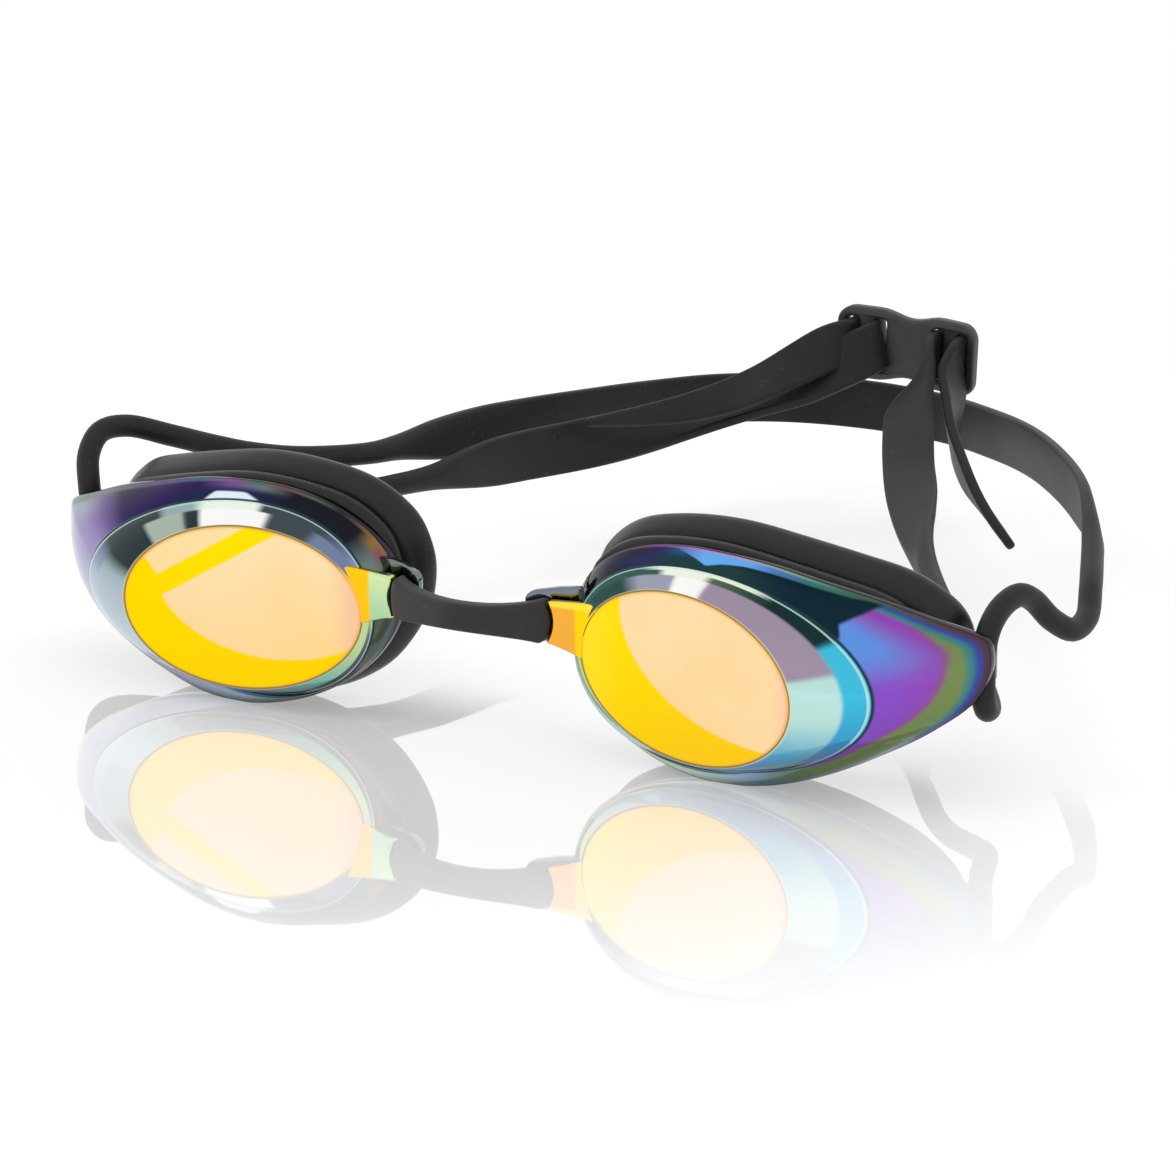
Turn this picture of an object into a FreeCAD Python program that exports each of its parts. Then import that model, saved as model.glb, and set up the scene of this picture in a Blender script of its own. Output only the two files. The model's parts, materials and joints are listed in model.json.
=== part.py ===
import FreeCAD, Part
import math
import os
from FreeCAD import Vector

# Swim goggles, in millimetres. X runs across the face, with +X at the wearer's left; -Y is the way the lenses
# look; +Z is up. The shapes are laid out with X = 0 midway between the eyes, Y = 0 at the middle of the windows
# and Z = 0 on the table, and at the end all of them move together, so that the origin is at the middle of the
# base of the whole object's box.

# Eyecups
EYE_SPACING = 72.0          # between the middles of the two flat windows
WINDOW_HEIGHT = 15.5        # window middle above the table
TOE_IN = 10.2               # degrees, temple end of a window further forward
LEAN = 3.3                  # degrees, top of a window further forward
ROLL = 2.5                  # degrees, temple end of a window lower
WINDOW_HALF_WIDTH = 18.2
WINDOW_HALF_HEIGHT = 12.2
BEVEL_HALF_WIDTH = 23.84
BEVEL_HALF_HEIGHT = 14.67
BEVEL_EGG = 1.87            # makes the temple end of the bevel longer than its nose end
BEVEL_SHIFT_ACROSS = 1.36
BEVEL_SHIFT_UP = 0.41
BEVEL_DEPTH_MIDDLE = 3.4
BEVEL_DEPTH_SLOPE = 0.145   # deeper by this much for each mm toward the temple
WALL = 1.6
RIM_SKIRT = 2.0
RIM_DEPTH = 4.2             # front of the rim behind the window's middle, at the middle of the eyecup
RIM_SLOPE = -0.10
RIM_CURVE = 0.010

# Angle round the window, then the rim's x and its z above the window's middle, going up from the wing's tip
RIM_STATIONS = [
    (12, 75.6, 7.2),
    (28, 66.0, 11.4),
    (50, 54.0, 15.0),
    (75, 42.0, 17.3),
    (100, 31.0, 17.4),
    (125, 21.5, 14.6),
    (150, 14.5, 9.6),
    (180, 12.4, 1.5),
    (207, 15.5, -5.5),
    (233, 23.0, -11.8),
    (258, 33.0, -15.1),
    (283, 43.5, -15.5),
    (310, 54.0, -13.4),
    (332, 65.0, -8.2),
    (352, 75.6, 1.3),
]

# Nose bridge and the lens arms that it clips over
BRIDGE_HALF_LENGTH = 13.0
BRIDGE_END_RADIUS = 7.6
BRIDGE_END_HEIGHT = 6.8
BRIDGE_WAIST_HEIGHT = 4.6
BRIDGE_MIDDLE_Z = 4.1       # above the window's middle
BRIDGE_THICKNESS = 2.9
BRIDGE_FRONT_MIDDLE_Y = -1.6
BRIDGE_FRONT_END_Y = 2.9
ARM_PLATE_REACH = 8.7       # nearest that an arm's plate comes to the middle
ARM_PLATE_THICKNESS = 1.5
PEG_X = 10.6
PEG_RADIUS = 1.3
PEG_LENGTH = 1.7
FIT_GAP = 0.3

# Gaskets
GASKET_MIDDLE_X = 38.5
GASKET_MIDDLE_Z = 2.0       # above the window's middle
GASKET_HALF_WIDTH = 26.5
GASKET_HALF_HEIGHT = 17.5

# Strap
CORD_DIAMETER = 3.6
BAND_WIDTH = 8.0
BAND_THICKNESS = 1.6
PIVOT_GAP_RADIUS = 2.5      # clear space in the fixed strap round each point that the strap swings about
WING_EXIT_X = 73.6
UPPER_EXIT_Y = 18.0
UPPER_EXIT_Z = 8.6          # above the window's middle
LOWER_EXIT_Y = 22.0
LOWER_EXIT_Z = -4.2

# Buckle
BUCKLE_X = 4.5
BUCKLE_FRONT_Y = 132.6
BUCKLE_THICKNESS = 2.0
BUCKLE_LENGTH = 24.6
BUCKLE_END_HEIGHT = 12.4
BUCKLE_WAIST_HEIGHT = 9.8
BUCKLE_MIDDLE_Z = 14.6      # above the window's middle
SLOT_WIDTH = 2.6
SLOT_HEIGHT = 8.8
INNER_SLOT_X = 5.0          # from the buckle's middle
OUTER_SLOT_X = 9.5

UP = Vector(0, 0, 1)


def window_axes():
    """The right-hand window's directions: toward the temple, up the window, and out of it."""
    toe, lean, roll = map(math.radians, (TOE_IN, LEAN, ROLL))
    out = Vector(-math.sin(toe) * math.cos(lean), -math.cos(toe) * math.cos(lean), -math.sin(lean))
    level = Vector(math.cos(toe), -math.sin(toe), 0)
    upright = out.cross(level)
    along = level * math.cos(roll) - upright * math.sin(roll)
    return along, out.cross(along), out


def window_point(across, up, depth):
    """A point in the window's own frame, as a point of the goggles."""
    along, upright, out = window_axes()
    middle = Vector(EYE_SPACING / 2, 0, WINDOW_HEIGHT)
    return middle + along * across + upright * up - out * depth


def closed_curve(points):
    """One smooth closed wire through the points, stepping evenly from each to the next."""
    steps = [i / len(points) for i in range(len(points) + 1)]
    curve = Part.BSplineCurve()
    curve.interpolate(Points=points, PeriodicFlag=True, Parameters=steps)
    return Part.Wire(curve.toShape())


def window_curve(inset, depth):
    points = []
    for angle, _, _ in RIM_STATIONS:
        a = math.radians(angle)
        across = (WINDOW_HALF_WIDTH - inset) * math.cos(a)
        up = (WINDOW_HALF_HEIGHT - inset) * math.sin(a)
        points.append(window_point(across, up, depth))
    return closed_curve(points)


def bevel_curve(inset, depth):
    points = []
    for angle, _, _ in RIM_STATIONS:
        a = math.radians(angle)
        across = BEVEL_SHIFT_ACROSS + (BEVEL_HALF_WIDTH - inset) * math.cos(a) + BEVEL_EGG * math.cos(2 * a)
        up = BEVEL_SHIFT_UP + (BEVEL_HALF_HEIGHT - inset) * math.sin(a)
        points.append(window_point(across, up, BEVEL_DEPTH_MIDDLE + BEVEL_DEPTH_SLOPE * across + depth))
    return closed_curve(points)


def rim_depth(x):
    """How far back the rim lies at each place across the eyecup, following the curve of the face."""
    across = x - EYE_SPACING / 2
    return RIM_DEPTH + RIM_SLOPE * across + RIM_CURVE * across ** 2


def rim_curve(inset, depth=0.0, flat_y=None):
    points = []
    for _, x, z in RIM_STATIONS:
        away = Vector(x - EYE_SPACING / 2, 0, z)
        away.normalize()
        y = rim_depth(x) + depth if flat_y is None else flat_y
        points.append(Vector(x, y, WINDOW_HEIGHT + z) - away * inset)
    return closed_curve(points)


def trimming_block(skirt, furthest_back):
    """Everything in front of a line that runs a skirt's depth behind the rim."""
    nearest_x, furthest_x, step = 6, 82, 4
    points = [Vector(x, min(rim_depth(x) + skirt, furthest_back), -5) for x in range(nearest_x, furthest_x, step)]
    points += [Vector(points[-1].x, -30, -5), Vector(nearest_x, -30, -5), points[0]]
    return Part.Face(Part.makePolygon(points)).extrude(UP * 60)


def prism(outline, thickness):
    """A closed outline of points in one plane, drawn out by a vector."""
    return Part.Face(Part.makePolygon(outline + [outline[0]])).extrude(thickness)


def arc(a, b, c):
    return Part.Arc(a, b, c).toShape()


def bowed_slab(front_end_y, front_middle_y, thickness, half_length):
    """A slab that bows forward in plan, tall enough to be cut to any height."""
    def at(x, y):
        return Vector(x, y, 0)
    back_end_y, back_middle_y = front_end_y + thickness, front_middle_y + thickness
    edges = [
        arc(at(-half_length, front_end_y), at(0, front_middle_y), at(half_length, front_end_y)),
        Part.makeLine(at(half_length, front_end_y), at(half_length, back_end_y)),
        arc(at(half_length, back_end_y), at(0, back_middle_y), at(-half_length, back_end_y)),
        Part.makeLine(at(-half_length, back_end_y), at(-half_length, front_end_y)),
    ]
    return Part.Face(Part.Wire(edges)).extrude(UP * 40)


def bridge_face_outline(y):
    """The bridge from the front: waisted in the middle, with slightly round ends."""
    middle = WINDOW_HEIGHT + BRIDGE_MIDDLE_Z
    end, waist = BRIDGE_END_HEIGHT / 2, BRIDGE_WAIST_HEIGHT / 2
    bulge = BRIDGE_END_RADIUS - math.sqrt(BRIDGE_END_RADIUS ** 2 - end ** 2)
    corner_x = BRIDGE_HALF_LENGTH - bulge

    def at(x, z):
        return Vector(x, y, middle + z)
    edges = [
        arc(at(-corner_x, end), at(0, waist), at(corner_x, end)),
        arc(at(corner_x, end), at(BRIDGE_HALF_LENGTH, 0), at(corner_x, -end)),
        arc(at(corner_x, -end), at(0, -waist), at(-corner_x, -end)),
        arc(at(-corner_x, -end), at(-BRIDGE_HALF_LENGTH, 0), at(-corner_x, end)),
    ]
    return Part.Face(Part.Wire(edges))


def peg_start_y():
    """Back face of the bridge at the pegs."""
    share = (PEG_X / BRIDGE_HALF_LENGTH) ** 2
    front = BRIDGE_FRONT_MIDDLE_Y + (BRIDGE_FRONT_END_Y - BRIDGE_FRONT_MIDDLE_Y) * share
    return front + BRIDGE_THICKNESS


def nose_bridge():
    slab = bowed_slab(BRIDGE_FRONT_END_Y, BRIDGE_FRONT_MIDDLE_Y, BRIDGE_THICKNESS, BRIDGE_HALF_LENGTH)
    bridge = bridge_face_outline(-10).extrude(Vector(0, 30, 0)).common(slab)
    for side in (-1, 1):
        mouth = Vector(side * PEG_X, peg_start_y() + 1, WINDOW_HEIGHT + BRIDGE_MIDDLE_Z)
        depth = PEG_LENGTH + 1 + FIT_GAP
        bridge = bridge.cut(Part.makeCylinder(PEG_RADIUS + FIT_GAP, depth, mouth, Vector(0, -1, 0)))
    return bridge


def lens_arm():
    """The arm on the nose side of the right-hand lens: a block hollowed to hold the bridge's end, and its plate."""
    middle_z = WINDOW_HEIGHT + BRIDGE_MIDDLE_Z
    root_x, root_low, root_high = 19.5, -4.6, 4.9
    tip_x, tip_half = 11.0, 3.4
    outline = [
        Vector(root_x, 0, middle_z + root_low),
        Vector(root_x, 0, middle_z + root_high),
        Vector(tip_x, 0, middle_z + tip_half),
        Vector(tip_x, 0, middle_z - tip_half),
    ]
    front_at_tip, front_at_root, depth = 2.6, 4.6, 3.0
    plan = [
        Vector(tip_x, front_at_tip, 0),
        Vector(root_x, front_at_root, 0),
        Vector(root_x, front_at_root + depth, 0),
        Vector(tip_x, front_at_tip + depth + 1.5, 0),
    ]
    block = prism(outline, Vector(0, 20, 0)).common(prism(plan, UP * 40))
    end_middle = Vector(BRIDGE_HALF_LENGTH - BRIDGE_END_RADIUS, -5, middle_z)
    seat = Part.makeCylinder(BRIDGE_END_RADIUS + FIT_GAP, 30, end_middle, Vector(0, 1, 0))
    plate_offset = BRIDGE_THICKNESS + FIT_GAP
    plate = bowed_slab(BRIDGE_FRONT_END_Y + plate_offset, BRIDGE_FRONT_MIDDLE_Y + plate_offset,
                       ARM_PLATE_THICKNESS, BRIDGE_HALF_LENGTH)
    plate_height = 6.2
    window = Part.makeBox(5, 20, plate_height, Vector(ARM_PLATE_REACH, 0, middle_z - plate_height / 2))
    peg_root = Vector(PEG_X, peg_start_y() + FIT_GAP + 0.8, middle_z)
    peg = Part.makeCylinder(PEG_RADIUS, PEG_LENGTH + 0.8, peg_root, Vector(0, -1, 0))
    stiffener = prism([Vector(12.6, 6.0, 0), Vector(root_x, front_at_root + 1.0, 0), Vector(root_x, 8.2, 0),
                       Vector(12.6, 7.3, 0)], UP * 40)
    stiffener = stiffener.common(prism(outline, Vector(0, 20, 0)))
    return [block.cut(seat), plate.common(window), peg, stiffener]


def wing_hook():
    """The hook behind the wing's tip: a web with a post that the strap runs round."""
    web_x, web_thickness = 67.0, 2.6
    post_front = UPPER_EXIT_Y + CORD_DIAMETER / 2 + FIT_GAP
    post_back, post_end_x = post_front + 2.2, 73.8
    low, height = WINDOW_HEIGHT - 0.5, 7.0
    outline = [
        Vector(web_x, 6.8, low),
        Vector(web_x + web_thickness, 9.6, low),
        Vector(web_x + web_thickness, post_front, low),
        Vector(post_end_x, post_front, low),
        Vector(post_end_x, post_back, low),
        Vector(web_x, post_back, low),
    ]
    return prism(outline, UP * height)


def right_lens():
    """The whole clear shell: window, bevel, rim with its wing, nose arm and strap hook."""
    past_the_rim = 24
    outside = Part.makeLoft([window_curve(0, 0), bevel_curve(0, 0), rim_curve(0), rim_curve(0, flat_y=past_the_rim)],
                            True, True)
    inside = Part.makeLoft([window_curve(0.6, WALL), bevel_curve(1.5, WALL - 0.3), rim_curve(1.7, 0.9),
                            rim_curve(1.7, flat_y=past_the_rim + 1)], True, True)
    cord_front = UPPER_EXIT_Y - CORD_DIAMETER / 2 - FIT_GAP
    shell = outside.cut(inside).common(trimming_block(RIM_SKIRT, cord_front))
    return shell.multiFuse(lens_arm() + [wing_hook()]).removeSplitter()


def gasket_curve(half_width, half_height, depth, flat_y=None):
    points = []
    count = 16
    for i in range(count):
        a = 2 * math.pi * i / count
        x = GASKET_MIDDLE_X + half_width * math.cos(a)
        z = WINDOW_HEIGHT + GASKET_MIDDLE_Z + half_height * math.sin(a)
        y = rim_depth(x) + depth if flat_y is None else flat_y
        points.append(Vector(x, y, z))
    return closed_curve(points)


def face_block(depth, behind):
    """All that lies behind, or in front of, a curved sheet that follows the rim at some depth."""
    nearest_x, furthest_x, step = 4, 76, 4
    far_y = 60 if behind else -40
    points = [Vector(x, rim_depth(x) + depth, -5) for x in range(nearest_x, furthest_x, step)]
    points += [Vector(points[-1].x, far_y, -5), Vector(nearest_x, far_y, -5)]
    return prism(points, UP * 60)


def right_gasket():
    """The face seal: a flange behind the rim, a groove, then a rounded skirt that meets the face."""
    # Each row: how much smaller than the widest outline, and how far behind the front of the rim.
    outer_steps = [(2.6, 1.7), (1.4, 3.2), (1.6, 4.8), (0.0, 7.4), (0.0, 10.6), (1.8, 13.6)]
    inner_steps = [(6.2, 1.7), (6.6, 4.8), (4.4, 13.6)]
    first, last = -4, 40

    def solid(steps):
        rows = [gasket_curve(GASKET_HALF_WIDTH - steps[0][0], GASKET_HALF_HEIGHT - steps[0][0], 0, flat_y=first)]
        rows += [gasket_curve(GASKET_HALF_WIDTH - small, GASKET_HALF_HEIGHT - small, depth) for small, depth in steps]
        rows.append(gasket_curve(GASKET_HALF_WIDTH - steps[-1][0], GASKET_HALF_HEIGHT - steps[-1][0], 0, flat_y=last))
        return Part.makeLoft(rows, True, True)
    seal = solid(outer_steps).cut(solid(inner_steps))
    return seal.common(face_block(outer_steps[0][1], True)).common(face_block(outer_steps[-1][1], False))


def strap_section(at, ahead, upright, width, height):
    """An eight-sided section: a wide thin one is the flat band, and an even one is the round part."""
    across = ahead.cross(upright)
    across.normalize()
    tall = across.cross(ahead)
    tall.normalize()
    trim = 0.29 * min(width, height)
    w, h = width / 2, height / 2
    corners = [(w, h - trim), (w - trim, h), (trim - w, h), (-w, h - trim),
               (-w, trim - h), (trim - w, -h), (w - trim, -h), (w, trim - h)]
    points = [at + across * a + tall * b for a, b in corners]
    return Part.makePolygon(points + [points[0]])


def strap_span(stations, start_ahead=None, end_ahead=None):
    """A span of strap through stations of x, y, z above the window's middle, thickness and width."""
    points = [Vector(x, y, WINDOW_HEIGHT + z) for x, y, z, _, _ in stations]
    steps = [b - a for a, b in zip(points, points[1:])]
    for step in steps:
        step.normalize()
    headings = [start_ahead or steps[0]]
    headings += [a + b for a, b in zip(steps, steps[1:])]
    headings.append(end_ahead or steps[-1])
    sections = []
    for at, ahead, (_, _, _, thickness, width) in zip(points, headings, stations):
        lead = Vector(ahead)
        lead.normalize()
        upright = UP if abs(lead.z) < 0.8 else Vector(0, 1, 0)
        sections.append(strap_section(at, lead, upright, thickness, width))
    return Part.makeLoft(sections, True, True)


def with_size(route, thickness, width):
    return [(x, y, z, thickness, width) for x, y, z in route]


def mirrored(stations):
    return [(-x, y, z, a, b) for x, y, z, a, b in stations]


ROUND = (CORD_DIAMETER, CORD_DIAMETER)
FLAT = (BAND_THICKNESS, BAND_WIDTH)
UPPER_PIVOT = Vector(WING_EXIT_X, UPPER_EXIT_Y, WINDOW_HEIGHT + UPPER_EXIT_Z)
LOWER_PIVOT = Vector(WING_EXIT_X, LOWER_EXIT_Y, WINDOW_HEIGHT + LOWER_EXIT_Z)


def right_wing_loop():
    """The short turn of strap round the hook, which stays with the eyecup."""
    drop = [(0, -2.5), (0, -6.5), (0, -10.6), (1.3, -12.4), (4.0, -12.8)]
    route = [(WING_EXIT_X, UPPER_EXIT_Y + y, UPPER_EXIT_Z + z) for y, z in [(0, 0)] + drop]
    stations = with_size(route, *ROUND)
    loop = strap_span(stations)
    for pivot in (UPPER_PIVOT, LOWER_PIVOT):
        loop = loop.cut(Part.makeSphere(PIVOT_GAP_RADIUS, pivot))
    return max(loop.Solids, key=lambda solid: solid.Volume)


# Routes of the strap: x, y, and z above the window's middle. It hangs as silicone does and is not symmetric.
LEFT_UPPER_ROUTE = [
    (-73.6, 18.0, 8.6), (-74.6, 20.6, 13.0), (-74.4, 25.0, 16.0), (-72.4, 31.0, 15.6), (-68.0, 40.0, 12.4),
    (-60.0, 51.0, 8.6), (-52.6, 66.0, 7.4),
]
RIGHT_UPPER_ROUTE = [
    (73.6, 18.0, 8.6), (75.2, 21.4, 12.2), (76.6, 25.8, 11.6), (78.4, 30.0, 7.2), (79.8, 35.4, 3.8),
    (79.2, 41.6, 4.4), (76.8, 47.2, 7.6), (71.6, 55.0, 10.8), (64.4, 66.0, 12.0),
]
REAR_BAND_ROUTE = [
    (-46.0, 84.0, 6.4), (-41.0, 100.0, 5.4), (-34.0, 117.0, 4.4), (-23.0, 132.0, 3.4), (-12.0, 140.0, 3.0),
    (-3.0, 143.4, 3.0), (6.0, 144.2, 3.0), (15.0, 143.0, 3.0), (23.0, 138.0, 3.6), (30.0, 125.0, 5.4),
    (38.0, 108.0, 8.4), (49.6, 88.0, 11.2),
]
LEFT_LOWER_ROUTE = [(-73.6, 22.0, -4.2), (-67.0, 30.4, -3.4), (-57.6, 42.0, 0.2), (-47.6, 57.0, 2.4)]
RIGHT_LOWER_ROUTE = [(73.6, 22.0, -4.2), (67.4, 30.6, -2.6), (57.6, 43.0, 2.4), (47.0, 60.0, 4.0)]
LEFT_BAND_ROUTE = [(-37.0, 80.0, 2.2), (-29.0, 96.0, 3.6), (-19.0, 111.0, 6.6), (-6.6, 122.6, 11.6)]
RIGHT_BAND_ROUTE = [(35.4, 81.0, 4.8), (25.0, 100.0, 6.2), (17.0, 116.0, 9.6), (11.4, 126.6, 12.6)]
LEFT_TAIL_ROUTE = [(-8.6, 126.6, 13.8), (-16.4, 118.6, 11.4), (-25.0, 107.6, 8.6), (-33.2, 97.0, 6.4)]
RIGHT_TAIL_ROUTE = [(16.0, 126.6, 10.6), (21.0, 119.6, 4.0), (28.0, 110.4, -2.0), (34.6, 103.6, -6.0)]
SPAN_GAP = 0.6


def shortened_end(here, toward, gap):
    """A point a gap away from one end, toward the next point."""
    a, b = Vector(*here), Vector(*toward)
    step = b - a
    step.normalize()
    return tuple(a + step * gap)


def upper_straps():
    """The two round spans of the upper strap, each widening toward the band behind."""
    parts = {}
    for name, route, band_end in (
        ("left_upper_strap", LEFT_UPPER_ROUTE, REAR_BAND_ROUTE[0]),
        ("right_upper_strap", RIGHT_UPPER_ROUTE, REAR_BAND_ROUTE[-1]),
    ):
        end = shortened_end(band_end, route[-1], SPAN_GAP)
        stations = with_size(route, *ROUND) + [end + (2.0, 7.2)]
        parts[name] = strap_span(stations)
    return parts


def rear_band():
    return strap_span(with_size(REAR_BAND_ROUTE, *FLAT))


def lower_straps():
    parts = {}
    for name, route, band_end in (
        ("left_lower_strap", LEFT_LOWER_ROUTE, LEFT_BAND_ROUTE[0]),
        ("right_lower_strap", RIGHT_LOWER_ROUTE, RIGHT_BAND_ROUTE[0]),
    ):
        end = shortened_end(band_end, route[-1], SPAN_GAP)
        stations = with_size(route, *ROUND) + [end + (2.0, 7.2)]
        parts[name] = strap_span(stations)
    return parts


def adjustable_band(side, route):
    """A flat band from the lower strap into its inner slot of the buckle."""
    slot_x = BUCKLE_X + side * INNER_SLOT_X
    entry = [(slot_x, BUCKLE_FRONT_Y - 1.2, BUCKLE_MIDDLE_Z)]
    through = [(slot_x, BUCKLE_FRONT_Y + BUCKLE_THICKNESS / 2, BUCKLE_MIDDLE_Z)]
    return strap_span(with_size(route + entry + through, *FLAT), end_ahead=Vector(0, 1, 0))


def buckle_turn(side):
    """The strap's turn behind the buckle, from its inner slot round the bar to its outer slot."""
    half = BAND_THICKNESS / 2
    inner, outer = INNER_SLOT_X + half, OUTER_SLOT_X + half
    inside_y = BUCKLE_FRONT_Y + BUCKLE_THICKNESS / 2
    near_y = BUCKLE_FRONT_Y + BUCKLE_THICKNESS + 0.1
    far_y = near_y + BAND_THICKNESS
    inner -= BAND_THICKNESS
    outline = [(inner, inside_y), (inner, far_y), (outer, far_y), (outer, inside_y),
               (outer - BAND_THICKNESS, inside_y), (outer - BAND_THICKNESS, near_y),
               (inner + BAND_THICKNESS, near_y), (inner + BAND_THICKNESS, inside_y)]
    low = WINDOW_HEIGHT + BUCKLE_MIDDLE_Z - BAND_WIDTH / 2
    return prism([Vector(BUCKLE_X + side * x, y, low) for x, y in outline], UP * BAND_WIDTH)


def tail(side, route):
    """The strap's loose end, from the outer slot, narrowing to its tip."""
    slot_x = BUCKLE_X + side * OUTER_SLOT_X
    start = [(slot_x, BUCKLE_FRONT_Y + BUCKLE_THICKNESS / 2, BUCKLE_MIDDLE_Z),
             (slot_x, BUCKLE_FRONT_Y - 1.2, BUCKLE_MIDDLE_Z)]
    widths = [BAND_WIDTH, BAND_WIDTH, BAND_WIDTH, 7.4, 5.0, 2.4]
    stations = [point + (BAND_THICKNESS, width) for point, width in zip(start + route, widths)]
    return strap_span(stations, Vector(0, -1, 0))


def buckle():
    """A stiff plate with two slots at each end, waisted in the middle."""
    half, end, waist = BUCKLE_LENGTH / 2, BUCKLE_END_HEIGHT / 2, BUCKLE_WAIST_HEIGHT / 2
    corner = 2.0
    middle_z = WINDOW_HEIGHT + BUCKLE_MIDDLE_Z

    def at(x, z):
        return Vector(BUCKLE_X + x, BUCKLE_FRONT_Y, middle_z + z)
    shoulder = INNER_SLOT_X
    edges = [
        Part.makeLine(at(half, corner - end), at(half, end - corner)),
        arc(at(half, end - corner), at(half - 0.3 * corner, end - 0.3 * corner), at(half - corner, end)),
        Part.makeLine(at(half - corner, end), at(shoulder, end)),
        arc(at(shoulder, end), at(0, waist), at(-shoulder, end)),
        Part.makeLine(at(-shoulder, end), at(corner - half, end)),
        arc(at(corner - half, end), at(0.3 * corner - half, end - 0.3 * corner), at(-half, end - corner)),
        Part.makeLine(at(-half, end - corner), at(-half, corner - end)),
        arc(at(-half, corner - end), at(0.3 * corner - half, 0.3 * corner - end), at(corner - half, -end)),
        Part.makeLine(at(corner - half, -end), at(-shoulder, -end)),
        arc(at(-shoulder, -end), at(0, -waist), at(shoulder, -end)),
        Part.makeLine(at(shoulder, -end), at(half - corner, -end)),
        arc(at(half - corner, -end), at(half - 0.3 * corner, 0.3 * corner - end), at(half, corner - end)),
    ]
    plate = Part.Face(Part.Wire(edges)).extrude(Vector(0, BUCKLE_THICKNESS, 0))
    for side in (-1, 1):
        for slot_x in (INNER_SLOT_X, OUTER_SLOT_X):
            low_corner = at(side * slot_x - SLOT_WIDTH / 2, -SLOT_HEIGHT / 2) - Vector(0, 1, 0)
            plate = plate.cut(Part.makeBox(SLOT_WIDTH, BUCKLE_THICKNESS + 2, SLOT_HEIGHT, low_corner))
    return plate


def mirror(shape):
    return shape.mirror(Vector(0, 0, 0), Vector(1, 0, 0))


def goggles():
    parts = {"nose_bridge": nose_bridge(), "rear_band": rear_band(), "buckle": buckle()}
    for name, shape in (("lens", right_lens()), ("gasket", right_gasket()), ("wing_loop", right_wing_loop())):
        parts["right_" + name] = shape
        parts["left_" + name] = mirror(shape)
    parts.update(upper_straps())
    parts.update(lower_straps())
    for name, side, band_route, tail_route in (
        ("left", -1, LEFT_BAND_ROUTE, LEFT_TAIL_ROUTE),
        ("right", 1, RIGHT_BAND_ROUTE, RIGHT_TAIL_ROUTE),
    ):
        parts[name + "_adjustable_band"] = adjustable_band(side, band_route)
        parts[name + "_buckle_turn"] = buckle_turn(side)
        parts[name + "_tail"] = tail(side, tail_route)
    return parts


def base_middle(shapes):
    """The middle of the base of the box that holds every shape."""
    boxes = [shape.optimalBoundingBox(True, False) for shape in shapes]
    whole = boxes[0]
    for box in boxes[1:]:
        whole.add(box)
    return Vector((whole.XMin + whole.XMax) / 2, (whole.YMin + whole.YMax) / 2, whole.ZMin)


os.makedirs("parts", exist_ok=True)
nodes = goggles()
origin = base_middle(list(nodes.values()))
print(f"origin in the layout: {origin.x:.3f} {origin.y:.3f} {origin.z:.3f}")
for name, shape in nodes.items():
    shape.translate(origin * -1)
    shape.exportStep("parts/" + name + ".step")
    box = shape.optimalBoundingBox(True, False)
    print(f"{name:24s} solids {len(shape.Solids)} valid {shape.isValid()} {shape.Volume / 1000:7.3f} cm3"
          f"  x {box.XMin:6.1f} {box.XMax:6.1f}  y {box.YMin:6.1f} {box.YMax:6.1f}  z {box.ZMin:5.1f} {box.ZMax:5.1f}")
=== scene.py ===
import json
import math

import bmesh
import bpy
import numpy as np
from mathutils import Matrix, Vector


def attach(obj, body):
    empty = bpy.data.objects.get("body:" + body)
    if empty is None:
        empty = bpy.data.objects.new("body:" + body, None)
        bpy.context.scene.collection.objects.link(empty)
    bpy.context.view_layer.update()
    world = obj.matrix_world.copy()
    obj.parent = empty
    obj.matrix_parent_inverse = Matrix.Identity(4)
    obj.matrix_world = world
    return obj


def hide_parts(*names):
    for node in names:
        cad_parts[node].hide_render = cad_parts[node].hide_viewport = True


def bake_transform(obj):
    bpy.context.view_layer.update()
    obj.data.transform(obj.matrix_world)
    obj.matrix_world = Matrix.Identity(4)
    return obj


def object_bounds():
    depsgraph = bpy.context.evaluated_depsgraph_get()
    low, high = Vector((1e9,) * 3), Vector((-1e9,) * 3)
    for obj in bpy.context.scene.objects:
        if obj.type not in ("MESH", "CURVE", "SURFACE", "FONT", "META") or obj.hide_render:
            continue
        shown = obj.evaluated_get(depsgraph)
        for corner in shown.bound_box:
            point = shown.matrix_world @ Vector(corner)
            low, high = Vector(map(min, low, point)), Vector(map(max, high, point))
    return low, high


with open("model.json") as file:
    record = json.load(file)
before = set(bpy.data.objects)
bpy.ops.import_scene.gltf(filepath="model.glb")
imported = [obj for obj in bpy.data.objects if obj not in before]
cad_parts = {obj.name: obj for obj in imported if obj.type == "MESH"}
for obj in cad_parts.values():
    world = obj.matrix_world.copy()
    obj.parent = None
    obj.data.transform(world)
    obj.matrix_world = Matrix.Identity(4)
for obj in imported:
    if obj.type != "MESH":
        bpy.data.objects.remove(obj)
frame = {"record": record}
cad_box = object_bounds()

# The layout: millimetres from the point midway between the two windows, X to the right as seen from the
# front, Y back toward the buckle, Z up. Every shape is laid out in it and then moved into the frame.
MM = 0.001
MOUNTS = {mount["name"]: mount for mount in frame["record"]["mounts"]}
LEFT_WINDOW, RIGHT_WINDOW = (np.array(MOUNTS[name]["pos_m"]) for name in ("left_window", "right_window"))
LAYOUT_ORIGIN = (LEFT_WINDOW + RIGHT_WINDOW) / 2
TABLE_Z = cad_box[0][2]


def place(points):
    """Layout millimetres to the frame's metres."""
    return np.asarray(points, float) * MM + LAYOUT_ORIGIN


# ---------------------------------------------------------------- camera

CAMERA_AZIMUTH, CAMERA_ELEVATION = 30.0, 17.0
CAMERA_DISTANCE = 900.0         # from the point midway between the windows
AIM_RIGHT, AIM_UP = 18.4, 7.65  # the picture's middle, beside and above that point
LENS_MM, SENSOR_MM = 194.5, 36.0


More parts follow.
